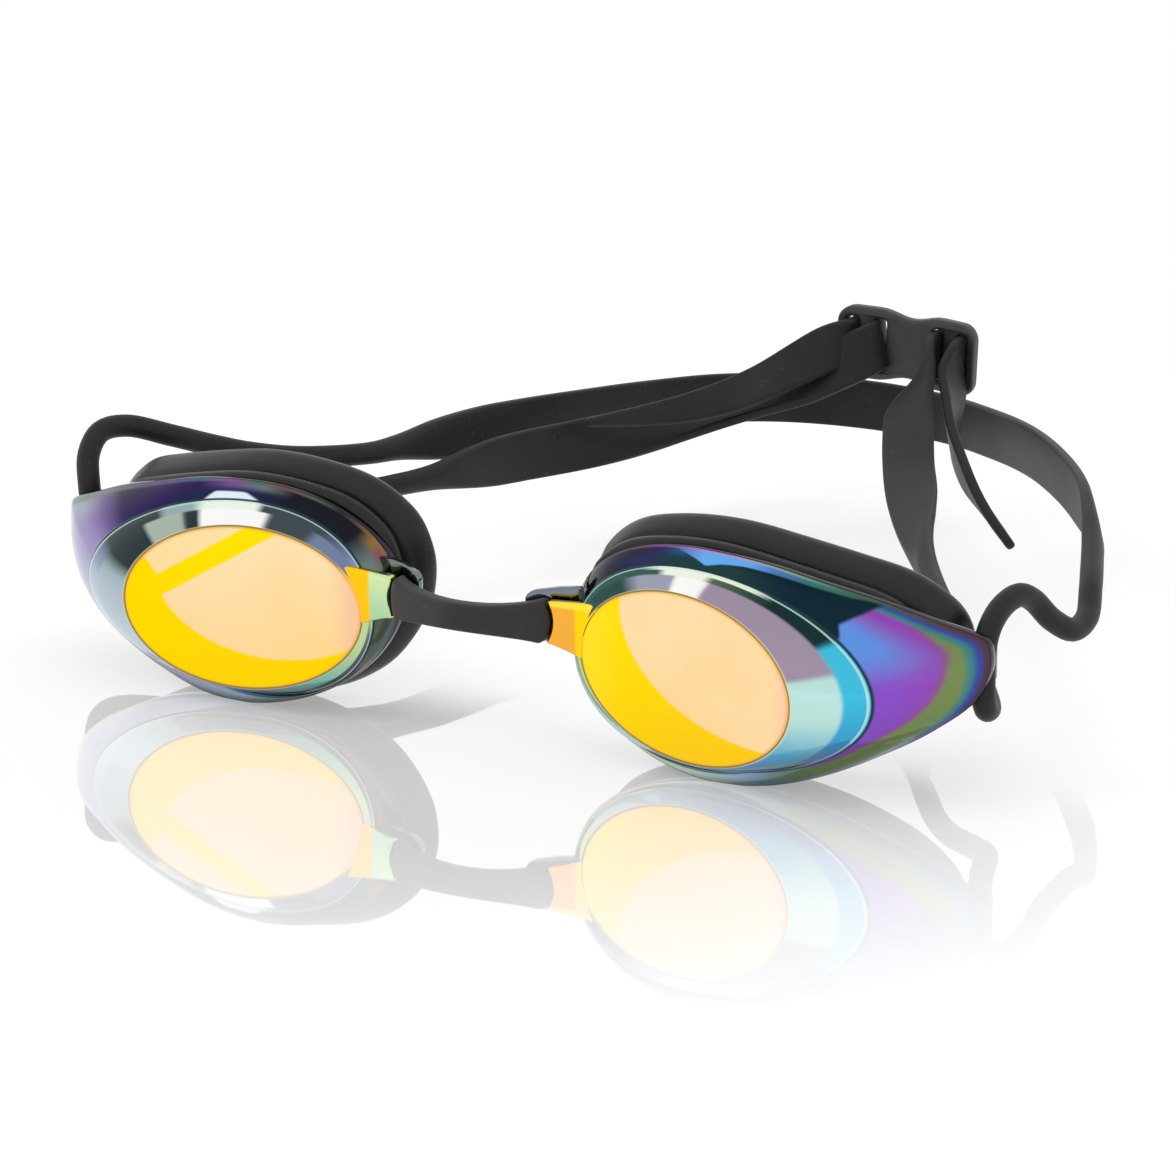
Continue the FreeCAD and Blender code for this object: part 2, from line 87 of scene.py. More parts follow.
def make_camera():
    azimuth, elevation = math.radians(CAMERA_AZIMUTH), math.radians(CAMERA_ELEVATION)
    right = np.array([math.cos(azimuth), math.sin(azimuth), 0])
    up = np.array([-math.sin(azimuth) * math.sin(elevation), math.cos(azimuth) * math.sin(elevation),
                   math.cos(elevation)])
    back = np.cross(right, up)
    aim = right * AIM_RIGHT + up * AIM_UP
    camera = bpy.data.objects.new("camera", bpy.data.cameras.new("camera"))
    bpy.context.collection.objects.link(camera)
    camera.location = place(back * CAMERA_DISTANCE)
    look = Vector(place(aim) - place(back * CAMERA_DISTANCE))
    camera.rotation_euler = look.to_track_quat("-Z", "Y").to_euler()
    camera.data.lens, camera.data.sensor_width = LENS_MM, SENSOR_MM
    camera.data.clip_start, camera.data.clip_end = 0.01, 50
    bpy.context.scene.camera = camera


# ---------------------------------------------------------------- meshes

def make_object(name, vertices, faces, material, film_marks=None):
    """A smooth-shaded piece from layout millimetres. Film marks say where on the lens each vertex lies."""
    mesh = bpy.data.meshes.new(name)
    mesh.from_pydata([tuple(v) for v in place(vertices)], [], faces)
    mesh.materials.append(material)
    if film_marks is not None:
        layer = mesh.attributes.new("film", "FLOAT_VECTOR", "POINT")
        layer.data.foreach_set("vector", np.asarray(film_marks, np.float32).ravel())
    mesh.polygons.foreach_set("use_smooth", [True] * len(mesh.polygons))
    mesh.validate()
    mesh.update()
    made = bpy.data.objects.new(name, mesh)
    bpy.context.collection.objects.link(made)
    recalculate_normals(made)
    return made


def bridge_rows(rows, start_cap=None, end_cap=None, wrap_rows=False):
    """Vertices and faces of a skin over rows of equal length. A cap is a point that closes an end."""
    count = len(rows[0])
    vertices = [point for row in rows for point in row]
    faces = []
    pairs = [(r, r + 1) for r in range(len(rows) - 1)]
    if wrap_rows:
        pairs.append((len(rows) - 1, 0))
    for a, b in pairs:
        for i in range(count):
            j = (i + 1) % count
            faces.append((a * count + i, a * count + j, b * count + j, b * count + i))
    for cap, row, flip in ((start_cap, 0, False), (end_cap, len(rows) - 1, True)):
        if cap is None:
            continue
        middle = len(vertices)
        vertices.append(cap)
        for i in range(count):
            j = (i + 1) % count
            fan = (middle, row * count + j, row * count + i)
            faces.append(fan[::-1] if flip else fan)
    return np.array(vertices, float), faces


def capped(sections):
    """A skin over the sections, closed at both ends."""
    return bridge_rows(sections, start_cap=sections[0].mean(0), end_cap=sections[-1].mean(0))


def on_side(side, vertices, faces):
    """A shape made for the right-hand side, mirrored for the left."""
    if side == "right":
        return vertices, faces
    return vertices * np.array([-1, 1, 1]), [tuple(reversed(face)) for face in faces]


def recalculate_normals(piece):
    edit = bmesh.new()
    edit.from_mesh(piece.data)
    bmesh.ops.recalc_face_normals(edit, faces=edit.faces)
    edit.to_mesh(piece.data)
    edit.free()


def smooth_closed(points, at):
    """Points (x, z) on a smooth closed curve through the given ones, at turns round the window."""
    points = np.array(points, float)
    turns = np.unwrap(np.arctan2(points[:, 1] / WINDOW_B, (points[:, 0] - EYE_X) / WINDOW_A))
    knots = np.concatenate([turns[-2:] - 2 * math.pi, turns, turns[:2] + 2 * math.pi])
    laps = np.where(at < turns[0], at + 2 * math.pi, at)
    return hermite(knots, np.concatenate([points[-2:], points, points[:2]]), laps)


def hermite(knots, values, at):
    """Cubic curve through (knot, value), with slopes taken from each knot's neighbours."""
    slopes = np.gradient(values, knots, axis=0)
    span = np.clip(np.searchsorted(knots, at, side="right") - 1, 0, len(knots) - 2)
    width = knots[span + 1] - knots[span]
    t = (at - knots[span]) / width
    if values.ndim > 1:
        t, width = t[:, None], width[:, None]
    start, end = values[span], values[span + 1]
    start_slope, end_slope = slopes[span] * width, slopes[span + 1] * width
    return (start * (2 * t ** 3 - 3 * t ** 2 + 1) + start_slope * (t ** 3 - 2 * t ** 2 + t)
            + end * (3 * t ** 2 - 2 * t ** 3) + end_slope * (t ** 3 - t ** 2))


# ---------------------------------------------------------------- lenses

EYE_X = 36.0
WINDOW_A, WINDOW_B = 18.2, 12.2                 # half its width and half its height
WINDOW_CROWN = 0.25
WINDOW_ROLL = math.radians(2.5)
BEVEL_A, BEVEL_B, BEVEL_EGG = 23.5, 14.67, 2.0  # the egg term draws the temple end out
BEVEL_SHIFT_U, BEVEL_SHIFT_V = 1.56, 0.41
BEVEL_DEPTH, BEVEL_DEPTH_SLOPE = 3.4, 0.145
RIM_DEPTH, RIM_DEPTH_SLOPE, RIM_DEPTH_CURVE = 4.2, -0.007, 0.0075
WALL = 1.5
AROUND = 256                                    # vertices in each row round the lens
# The rim of the right-hand lens as x and z, from the wing's tip up and round by the nose
RIM_POINTS = [
    (75.6, 3.6), (75.5, 5.4), (74.9, 7.2), (72.6, 8.4), (69.8, 9.5), (63.0, 12.2), (53.5, 15.0),
    (46.8, 16.7), (40.4, 17.6), (33.9, 17.8), (28.6, 17.1), (24.0, 15.6), (18.9, 12.4), (15.6, 8.2),
    (14.2, 2.2), (16.7, -5.2), (22.2, -10.6), (30.0, -14.2), (39.4, -15.8), (47.2, -15.2), (53.8, -13.4),
    (61.4, -10.1), (69.2, -5.6), (73.1, -2.4), (75.0, 0.8), (75.4, 2.2),
]
TURN = np.linspace(0, 2 * math.pi, AROUND, endpoint=False)

OUT = np.array(MOUNTS["right_window"]["axis"])
LEVEL = np.cross([0, 0, 1], OUT)
LEVEL /= np.linalg.norm(LEVEL)
UPRIGHT = np.cross(OUT, LEVEL)
ALONG = LEVEL * math.cos(WINDOW_ROLL) - UPRIGHT * math.sin(WINDOW_ROLL)
UPWARD = np.cross(OUT, ALONG)


def in_window(u, v, depth):
    """Points u across and v up the right-hand window's plane, at a depth behind it."""
    u, v, depth = (np.broadcast_to(np.asarray(x, float), TURN.shape) for x in (u, v, depth))
    return np.array([EYE_X, 0, 0]) + u[:, None] * ALONG + v[:, None] * UPWARD - depth[:, None] * OUT


def window_row(share, inset=0.0, depth=0.0):
    crown = WINDOW_CROWN * (1 - share ** 2)
    return in_window((WINDOW_A * share - inset) * np.cos(TURN), (WINDOW_B * share - inset) * np.sin(TURN),
                     depth - crown)


def bevel_row(inset=0.0, depth=0.0):
    u = BEVEL_SHIFT_U + (BEVEL_A - inset) * np.cos(TURN) + BEVEL_EGG * np.cos(2 * TURN)
    v = BEVEL_SHIFT_V + (BEVEL_B - inset) * np.sin(TURN)
    return in_window(u, v, BEVEL_DEPTH + BEVEL_DEPTH_SLOPE * u + depth)


def rim_depth(x):
    across = x - EYE_X
    return RIM_DEPTH + RIM_DEPTH_SLOPE * across + RIM_DEPTH_CURVE * across ** 2


def rim_row(inset=0.0, depth=0.0):
    x, z = smooth_closed(RIM_POINTS, TURN).T
    y = rim_depth(x) + depth
    away = np.stack([x - EYE_X, np.zeros_like(x), z], 1)
    away /= np.linalg.norm(away, axis=1)[:, None]
    return np.stack([x, y, z], 1) - away * inset


def between(a, b, share, bulge):
    """A row part of the way from a to b, standing out of the straight line between them by bulge."""
    span = b - a
    around = np.roll(a, -1, 0) - np.roll(a, 1, 0)
    normal = np.cross(span, around)
    normal /= np.linalg.norm(normal, axis=1)[:, None]
    if np.mean(normal[:, 1]) > 0:
        normal = -normal
    length = np.linalg.norm(span, axis=1)[:, None]
    return a + span * share + normal * length * bulge * 4 * share * (1 - share)


def lens_skin():
    """The right-hand lens shell, with marks for the film: u and v in half windows, and the zone, which runs
    from 0 to 1 over the window, to 2 over the bevel, to 3 over the wing, and beyond on edge and inside."""
    rows, zones = [], []

    def add(row, zone):
        rows.append(row)
        zones.append(zone)
    for share in (0.12, 0.3, 0.5, 0.7, 0.86, 0.95, 0.985):
        add(window_row(share), share)
    add(window_row(1.0), 1.0)
    add(window_row(1.0, inset=-0.1, depth=0.16), 1.003)
    add(window_row(1.0, inset=-0.22, depth=0.2), 1.006)
    edge, ring = window_row(1.0, inset=-0.36, depth=0.1), bevel_row(inset=0.1)
    for share in (0.0, 0.06, 0.15, 0.28, 0.42, 0.56, 0.7, 0.82, 0.92, 0.975):
        add(between(edge, ring, share, 0.045), 1.01 + 0.97 * share)
    add(bevel_row(inset=-0.02, depth=0.03), 2.0)
    add(bevel_row(inset=-0.14, depth=0.16), 2.01)
    start, rim = bevel_row(inset=-0.2, depth=0.42), rim_row()
    wing_bulge = 0.05 + 0.09 * np.clip(-np.sin(TURN), 0, 1)[:, None] ** 2
    for share in (0.0, 0.03, 0.08, 0.16, 0.25, 0.35, 0.45, 0.55, 0.65, 0.74, 0.83, 0.91, 0.96, 1.0):
        add(between(start, rim, share, wing_bulge), 2.02 + 0.97 * share)
    edge_section = ((-0.08, 0.12), (-0.1, 0.4), (-0.06, 1.2), (0.0, 1.75), (0.2, 1.95), (0.9, 1.95),
                    (1.2, 1.75))
    for inset, depth in edge_section:
        add(rim_row(inset, depth), 3.2)
    inner_rim, inner_ring = rim_row(1.5, 1.0), bevel_row(1.4, WALL)
    for share in (0.0, 0.3, 0.6, 0.85):
        add(between(inner_rim, inner_ring, share, 0.06), 3.4)
    for share in (0.0, 0.5):
        add(between(inner_ring, window_row(1.0, 0.6, WALL), share, 0), 3.5)
    for share in (1.0, 0.75, 0.4):
        add(window_row(share, 0.6 * share, WALL), 3.6)
    front, behind = in_window(0, 0, -WINDOW_CROWN)[0], in_window(0, 0, WALL - WINDOW_CROWN)[0]
    vertices, faces = bridge_rows(rows, start_cap=front, end_cap=behind)
    u = (vertices - [EYE_X, 0, 0]) @ ALONG / WINDOW_A
    v = (vertices - [EYE_X, 0, 0]) @ UPWARD / WINDOW_B
    zone = np.concatenate([np.repeat(zones, AROUND), [0.0, 3.6]])
    return vertices, faces, np.stack([u, v, zone], 1)


ARM_MIDDLE_Z = 4.1
ARM_TIP_X, ARM_TIP_RADIUS = 13.5, 4.9
ARM_MARK_X, ARM_MARK_LENGTH, ARM_MARK_HALF_HEIGHT = 12.5, 7, 4      # u and v of the film on the arm
BRIDGE_HALF_LENGTH, BRIDGE_END_RADIUS = 13.1, 4.7
BRIDGE_END_Y, BRIDGE_MIDDLE_Y, BRIDGE_BOW_LENGTH = 2.9, -1.6, 13.0


def rounded_rectangle(half_y, half_z, radius, per_corner=5):
    """Points round a rectangle with round corners, as offsets (y, z)."""
    points = []
    for corner_y, corner_z, start in ((1, 1, 0), (-1, 1, 90), (-1, -1, 180), (1, -1, 270)):
        for i in range(per_corner):
            a = math.radians(start + 90 * i / (per_corner - 1))
            points.append((corner_y * (half_y - radius) + radius * math.cos(a),
                           corner_z * (half_z - radius) + radius * math.sin(a)))
    return np.array(points)


def filled_rectangle(half_y, half_z, radius):
    """The same, with points added up its tall sides so that they can be bent into an arc."""
    outline = rounded_rectangle(half_y, half_z, radius)
    side = np.linspace(half_z - radius, radius - half_z, 9)[1:-1]
    front = np.stack([np.full(7, -half_y), side], 1)
    behind = np.stack([np.full(7, half_y), -side], 1)
    return np.concatenate([outline[:10], front, outline[10:], behind])


def arc_reach(radius, height):
    """How far a round end of this radius falls back at a height off its middle."""
    return radius - np.sqrt(radius ** 2 - np.clip(height, -0.95 * radius, 0.95 * radius) ** 2)


def lens_arm():
    """The arm on the nose side of the right-hand lens, out to the arc where the bridge sits."""
    sections = []
    for share in (0.0, 0.03, 0.09, 0.2, 0.35, 0.5, 0.65, 0.8, 0.92, 1.0):
        trim = {0.0: 0.3, 0.03: 0.08}.get(share, 0.0)
        half_thick = 0.85 - 0.35 * share ** 2
        outline = filled_rectangle(half_thick - trim, 3.1 + 1.35 * share ** 1.5 - trim, 0.35)
        z = ARM_MIDDLE_Z - 0.45 * share ** 1.5 + outline[:, 1]
        tip_x = ARM_TIP_X - arc_reach(ARM_TIP_RADIUS, z - ARM_MIDDLE_Z)
        root_x = EYE_X - WINDOW_A * np.sqrt(1 - (z / WINDOW_B) ** 2) + 0.5
        x = tip_x + (root_x - tip_x) * share
        plane = (x - EYE_X) * ALONG[1] + z * UPWARD[1]
        front = 2.75 + (plane + 0.25 - 2.75) * share ** 2
        sections.append(np.stack([x, front + half_thick + outline[:, 0], z], 1))
    return capped(sections)


def bridge_bow(x):
    """How far back the bridge lies at x."""
    return BRIDGE_MIDDLE_Y + (BRIDGE_END_Y - BRIDGE_MIDDLE_Y) * (np.asarray(x) / BRIDGE_BOW_LENGTH) ** 2


def arm_plate():
    """The thin plate that runs on from the arm behind the bridge's end, with round corners."""
    sections = []
    near, far, corner = 8.7, 16.4, 1.1
    for share in (0.0, 0.012, 0.04, 0.08, 0.12, 0.16, 0.3, 0.5, 0.75, 1.0):
        x = near + (far - near) * share
        short = corner - math.sqrt(max(corner ** 2 - max(corner - (x - near), 0) ** 2, 0))
        edge = 0.3 if share == 0 else 0.0
        outline = rounded_rectangle(0.72 - edge, 3.5 + 1.0 * share - short - edge, 0.3)
        y = bridge_bow(min(x, 13.0)) + 4.0 + outline[:, 0]
        sections.append(np.stack([np.full(len(y), x), y, ARM_MIDDLE_Z + 0.25 + outline[:, 1]], 1))
    return capped(sections)


def wing_hook():
    """The web and post behind the wing's tip that the strap runs round."""
    path = [(71.2, 12.6), (71.0, 15.0), (70.8, 18.0), (70.9, 20.2), (71.5, 21.1), (72.6, 21.4),
            (73.9, 21.3)]
    sections = []
    low, high = -0.4, 6.4
    for i, (x, y) in enumerate(path):
        ahead = np.array(path[min(i + 1, len(path) - 1)]) - np.array(path[max(i - 1, 0)])
        ahead = ahead / np.linalg.norm(ahead)
        side = np.array([-ahead[1], ahead[0]])
        trim = 0.3 if i == len(path) - 1 else 0.0
        outline = rounded_rectangle(0.7 - trim, (high - low) / 2 - trim, 0.35)
        xy = np.array([x, y]) + outline[:, :1] * side
        sections.append(np.stack([xy[:, 0], xy[:, 1], (high + low) / 2 + outline[:, 1]], 1))
    return capped(sections)


def joined(parts):
    """Several skins as one, with their film marks."""
    vertices, faces, marks = [], [], []
    count = 0
    for part_vertices, part_faces, part_marks in parts:
        vertices.append(part_vertices)
        marks.append(part_marks)
        faces += [tuple(i + count for i in face) for face in part_faces]
        count += len(part_vertices)
    return np.concatenate(vertices), faces, np.concatenate(marks)


def make_lenses(materials):
    parts = [lens_skin()]
    for (vertices, faces), zone in ((lens_arm(), 5.0), (arm_plate(), 6.0), (wing_hook(), 7.0)):
        u = (vertices[:, 0] - ARM_MARK_X) / ARM_MARK_LENGTH
        v = (vertices[:, 2] - ARM_MIDDLE_Z) / ARM_MARK_HALF_HEIGHT
        parts.append((vertices, faces, np.stack([u, v, np.full(len(vertices), zone)], 1)))
    vertices, faces, marks = joined(parts)
    for side in ("right", "left"):
        lens = make_object(side + "_lens_shell", *on_side(side, vertices, faces), materials[side], marks)
        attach(lens, "eyecups")
        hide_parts(side + "_lens")


# ---------------------------------------------------------------- gaskets

# The seal's widest outline on the right-hand side as x and z, from the temple up and round by the nose
SEAL_POINTS = [
    (70.0, 4.6), (68.4, 8.8), (63.5, 12.9), (55.3, 16.5), (47.0, 18.8), (38.6, 20.2), (30.6, 20.0),
    (22.2, 18.0), (16.4, 13.8), (13.6, 8.0), (13.3, 2.4), (15.6, -4.4), (20.8, -10.6), (28.4, -14.4),
    (38.0, -15.7), (47.8, -14.7), (57.0, -11.6), (64.4, -6.9), (68.8, -1.2),
]
# How far the seal's upper temple corner stands out past that outline, where, and over how much of it
SWELL, SWELL_MIDDLE, SWELL_SPREAD = 0.7, (63.0, 13.5), 60
SEAL_START_DEPTH = 1.6


def seal_row(small, depth):
    """The seal's outline drawn in by small, at a depth behind the rim that grows toward the temple."""
    outline = smooth_closed(SEAL_POINTS, TURN)
    corner = np.exp(-((outline - SWELL_MIDDLE) ** 2).sum(1) / SWELL_SPREAD)[:, None]
    small = small - corner * SWELL
    ahead = np.roll(outline, -1, 0) - np.roll(outline, 1, 0)
    inward = np.stack([-ahead[:, 1], ahead[:, 0]], 1)
    inward /= np.linalg.norm(inward, axis=1)[:, None]
    x, z = (outline + inward * small).T
    deepening = 0.76 + 0.2 * (x - 14) / 56
    y = rim_depth(x) + SEAL_START_DEPTH + (depth - SEAL_START_DEPTH) * deepening
    return np.stack([x, y, z], 1)


def make_gaskets(material):
    # How much smaller than the widest outline, and how far behind the rim, round the seal's section
    section = [
        (4.4, 1.5), (3.4, 1.4), (2.6, 1.5), (2.1, 1.8), (1.85, 2.3), (1.8, 2.9), (1.85, 3.5), (2.1, 3.9),
        (2.6, 4.15), (3.3, 4.3), (3.8, 4.6), (3.95, 5.0), (3.8, 5.4), (3.3, 5.7), (2.5, 5.85), (1.8, 6.1),
        (1.4, 6.5), (1.05, 7.1), (0.6, 8.0), (0.2, 9.0), (0.0, 10.1), (0.2, 11.2), (0.7, 12.3), (1.5, 13.1),
        (2.5, 13.6), (3.5, 13.4), (4.3, 12.5), (5.0, 10.9), (5.7, 8.5), (6.4, 5.8), (6.7, 3.6), (6.5, 2.4),
        (5.6, 1.7),
    ]
    rows = [seal_row(small, depth) for small, depth in section]
    vertices, faces = bridge_rows(rows, wrap_rows=True)
    for side in ("right", "left"):
        gasket = make_object(side + "_gasket_seal", *on_side(side, vertices, faces), material)
        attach(gasket, "eyecups")
        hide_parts(side + "_gasket")


# ---------------------------------------------------------------- nose bridge

def make_bridge(material):
    """The moulding between the lenses: thinner at its middle, with concave ends round the arms' tips."""
    sections = []
    shares = [0, 0.006, 0.018, 0.04, 0.08, 0.14, 0.2, 0.27, 0.35, 0.43, 0.5]
    shares += [1 - share for share in reversed(shares[:-1])]
    for share in shares:
        reach = 2 * share - 1
        from_end = min(share, 1 - share)
        trim = 0.5 * max(0.0, 1 - from_end / 0.03) ** 2
        half_z = 2.05 + 1.3 * abs(reach) ** 2.4 - trim
        half_y = 1.5 - 0.12 * (1 - abs(reach)) - trim
        outline = filled_rectangle(half_y, half_z, min(0.7, 0.9 * half_y))
        x = reach * (BRIDGE_HALF_LENGTH - arc_reach(BRIDGE_END_RADIUS, outline[:, 1]) * abs(reach) ** 5)
        y = bridge_bow(x) + 1.45 + outline[:, 0]
        sections.append(np.stack([x, y, ARM_MIDDLE_Z + outline[:, 1]], 1))
    bridge = make_object("nose_bridge_moulding", *capped(sections), material)
    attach(bridge, "bridge")
    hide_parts("nose_bridge")


# ---------------------------------------------------------------- strap

SECTION_CORNER_POINTS = 6
CORD = (3.4, 3.4)
BAND = (1.6, 8.0)
UPRIGHT_PULL = 0.2      # how quickly a twisted section comes back upright along a level stretch


def strap_outline(thickness, width):
    flatness = min(max((width / thickness - 1) / 2, 0), 1)
    radius = min(thickness, width) * (0.5 - 0.12 * flatness) - 0.001
    return rounded_rectangle(thickness / 2, width / 2, radius, SECTION_CORNER_POINTS)


def upright_directions(ahead):
    """The direction of the section's height: upright where the line is level, carried round steep turns."""
    talls = np.zeros_like(ahead)
    middle = len(ahead) // 2
    for order in (range(middle, len(ahead)), range(middle, -1, -1)):
        keep = np.array([0.0, 0.0, 1.0])
        for i in order:
            keep = keep + np.array([0, 0, UPRIGHT_PULL * max(0.0, 0.8 - abs(ahead[i][2]))])
            keep = keep - ahead[i] * (keep @ ahead[i])
            keep = keep / np.linalg.norm(keep)
            talls[i] = keep
    return talls


def strap_rows(stations, spacing=0.8):
    """Sections of a strap through stations (x, y, z, thickness, width, tilt in degrees)."""
    stations = np.array(stations, float)
    gaps = np.linalg.norm(np.diff(stations[:, :3], axis=0), axis=1)
    knots = np.concatenate([[0], np.cumsum(gaps ** 0.5)])
    count = int(gaps.sum() / spacing)
    fine = np.linspace(0, knots[-1], count * 4)
    run = np.linalg.norm(np.diff(hermite(knots, stations, fine)[:, :3], axis=0), axis=1)
    run = np.concatenate([[0], np.cumsum(run)])
    line = hermite(knots, stations, np.interp(np.linspace(0, run[-1], count), run, fine))
    ahead = np.gradient(line[:, :3], axis=0)
    ahead /= np.linalg.norm(ahead, axis=1)[:, None]
    rows = []
    for point, lead, tall in zip(line, ahead, upright_directions(ahead)):
        tilt = math.radians(point[5])
        side = np.cross(lead, tall)
        turned_tall = tall * math.cos(tilt) + side * math.sin(tilt)
        turned_side = side * math.cos(tilt) - tall * math.sin(tilt)
        outline = strap_outline(point[3], point[4])
        rows.append(point[:3] + outline[:, :1] * turned_side + outline[:, 1:] * turned_tall)
    return rows


def tucked(row):
    """A row drawn in by a hundredth of a millimetre, to lie hidden inside the strap's next piece."""
    middle = row.mean(0)
    away = row - middle
    return row - away / np.linalg.norm(away, axis=1)[:, None] * 0.01


def strap_piece(rows, first, last):
    """The rows from first to last, with one tucked row more at each cut end so that the surfaces run on."""
    before = [tucked(rows[first - 1])] if first > 0 else []
    after = [tucked(rows[last + 1])] if last < len(rows) - 1 else []
    return before + rows[first:last + 1] + after


def make_strap(name, rows, material, rounded_end=False):
    """A strap piece. Its cut ends are flat, and a tail's tip is drawn in."""
    if rounded_end:
        end = rows[-1].mean(0)
        around, tip = rows[-1] - end, rows[-1] - rows[-2]
        rows = rows + [end + around * 0.75 + tip * 0.3, end + around * 0.3 + tip * 0.45]
    piece = make_object(name, *capped(rows), material)
    ring = len(rows[0])
    for face in piece.data.polygons:
        if len(face.vertices) == 3 and not (rounded_end and min(face.vertices) >= ring):
            face.use_smooth = False
    return piece


def layout_point(x, y, z):
    return tuple(float(c) for c in place((x, y, z)))


def row_at(rows, y, on_way_back=True):
    """The number of the row where the strap first passes y on its way back, or last passes it coming in."""
    depths = [row[:, 1].mean() for row in rows]
    if on_way_back:
        return next(i for i, depth in enumerate(depths) if depth > y)
    return len(rows) - 1 - next(i for i, depth in enumerate(reversed(depths)) if depth > y)


UPPER_SEAM_Y, LOWER_SEAM_Y = 49.0, 50.0
UPPER_ROUTE = [
    (-73.4, 18.0, 2.6, *CORD, 0), (-73.3, 18.0, 5.4, *CORD, 0), (-73.8, 18.1, 9.0, *CORD, 0),
    (-75.0, 20.0, 13.0, *CORD, 0), (-75.0, 23.4, 15.7, *CORD, 0), (-72.9, 27.2, 16.0, *CORD, 0),
    (-68.0, 32.0, 14.0, *CORD, 0), (-64.7, 38.0, 11.5, *CORD, 0), (-61.3, 43.0, 9.6, *CORD, 0),
    (-56.7, 50.0, 7.8, *CORD, 0), (-50.4, 60.0, 6.8, *CORD, 0), (-48.8, 66.0, 6.5, 3.2, 4.0, 0),
    (-47.1, 75.0, 5.9, 2.2, 6.4, 0), (-45.2, 85.0, 5.1, 1.7, 7.8, 0), (-43.1, 94.0, 4.4, *BAND, 0),
    (-40.1, 105.0, 3.5, *BAND, 0), (-34.9, 121.0, 2.2, *BAND, 0), (-27.3, 133.0, 1.6, *BAND, 0),
    (-17.5, 141.0, 0.9, *BAND, 0), (-5.3, 145.8, 0.0, *BAND, 0), (6.3, 144.4, -0.1, *BAND, 0),
    (20.3, 133.2, 1.8, *BAND, 0), (35.2, 116.2, 4.8, *BAND, 0), (49.4, 97.0, 7.1, *BAND, 0),
    (60.2, 80.5, 8.3, 1.7, 7.6, 2), (65.2, 72.0, 8.3, 2.3, 6.0, 10), (68.9, 64.5, 7.8, 3.1, 4.2, 12),
    (72.2, 57.0, 7.0, *CORD, 6), (75.2, 50.0, 5.8, *CORD, 0), (77.6, 43.4, 3.4, *CORD, 0),
    (77.6, 38.6, 3.0, *CORD, 0), (76.2, 34.6, 5.4, *CORD, 0), (74.9, 31.0, 9.0, *CORD, 0),
    (74.2, 28.0, 10.4, *CORD, 0), (73.6, 23.8, 9.8, *CORD, 0), (73.6, 19.8, 7.8, *CORD, 0),
    (73.6, 18.2, 5.2, *CORD, 0), (73.6, 18.0, 2.6, *CORD, 0),
]


def make_upper_strap(material):
    rows = strap_rows(UPPER_ROUTE)
    start = row_at(rows, UPPER_SEAM_Y)
    end = row_at(rows, UPPER_SEAM_Y, False)
    for side, first, last in (("left", 0, start), ("right", end, len(rows) - 1)):
        piece = make_strap(side + "_upper_cord", strap_piece(rows, first, last), material)
        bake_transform(piece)
        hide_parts(side + "_upper_strap", side + "_wing_loop")
    piece = make_strap("upper_band", strap_piece(rows, start, end), material)
    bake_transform(piece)
    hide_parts("rear_band")


BUCKLE_X, BUCKLE_FRONT_Y, BUCKLE_Z = 7.8, 128.1, 14.9
BUCKLE_TILT = math.radians(2.5)
INNER_SLOT, OUTER_SLOT = 5.0, 9.5       # beside the buckle's middle


def through_buckle(sign):
    """A strap's turn through the buckle: back by the inner slot, outward, and forward by the outer one."""
    inner, outer = sign * INNER_SLOT, sign * OUTER_SLOT
    turn = [(inner, -1.2), (inner, 1.4), (inner + sign * 0.9, 3.1), ((inner + outer) / 2, 3.5),
            (outer - sign * 0.9, 3.0), (outer, 1.3), (outer, -1.2)]
    slope = math.tan(BUCKLE_TILT)
    return [(BUCKLE_X + x, BUCKLE_FRONT_Y + y, BUCKLE_Z - x * slope, 1.6, 7.8, 0) for x, y in turn]


LEFT_LOWER_ROUTE = [
    (-73.6, 18.0, 2.6, *CORD, 0), (-73.6, 18.0, 0.4, *CORD, 0), (-73.6, 18.1, -1.8, *CORD, 0),
    (-73.4, 19.4, -4.0, *CORD, 0), (-72.6, 22.2, -4.7, *CORD, 0), (-66.8, 30.6, -3.0, *CORD, 0),
    (-57.0, 43.0, 0.8, *CORD, 0), (-51.4, 50.4, 2.0, *CORD, 0), (-46.2, 58.6, 2.4, *CORD, 0),
    (-43.3, 67.0, 2.2, 3.2, 4.0, 0), (-41.2, 74.0, 2.2, 2.4, 6.2, 0), (-39.7, 80.0, 2.0, 1.8, 7.6, 0),
    (-37.4, 88.0, 1.7, *BAND, -4), (-34.4, 95.0, 1.6, *BAND, -12), (-28.8, 103.5, 2.3, *BAND, -42),
    (-22.2, 110.2, 3.6, *BAND, -70), (-17.6, 114.6, 4.7, *BAND, -80), (-12.8, 118.9, 6.4, *BAND, -76),
    (-7.8, 122.5, 8.6, *BAND, -60), (-2.8, 124.9, 11.8, *BAND, -34),
]
LEFT_TAIL_ROUTE = [
    (-4.2, 124.5, 14.5, 1.6, 7.4, 24), (-7.8, 121.5, 12.3, 1.6, 7.2, 44),
    (-11.8, 116.9, 9.8, 1.6, 6.6, 52), (-16.1, 111.7, 7.9, 1.6, 5.8, 48),
    (-20.3, 106.2, 6.9, 1.6, 4.6, 36), (-24.8, 100.0, 6.6, 1.6, 3.2, 20),
    (-28.4, 94.4, 6.7, 1.5, 2.0, 10), (-29.6, 92.0, 6.8, 1.4, 1.4, 6),
]
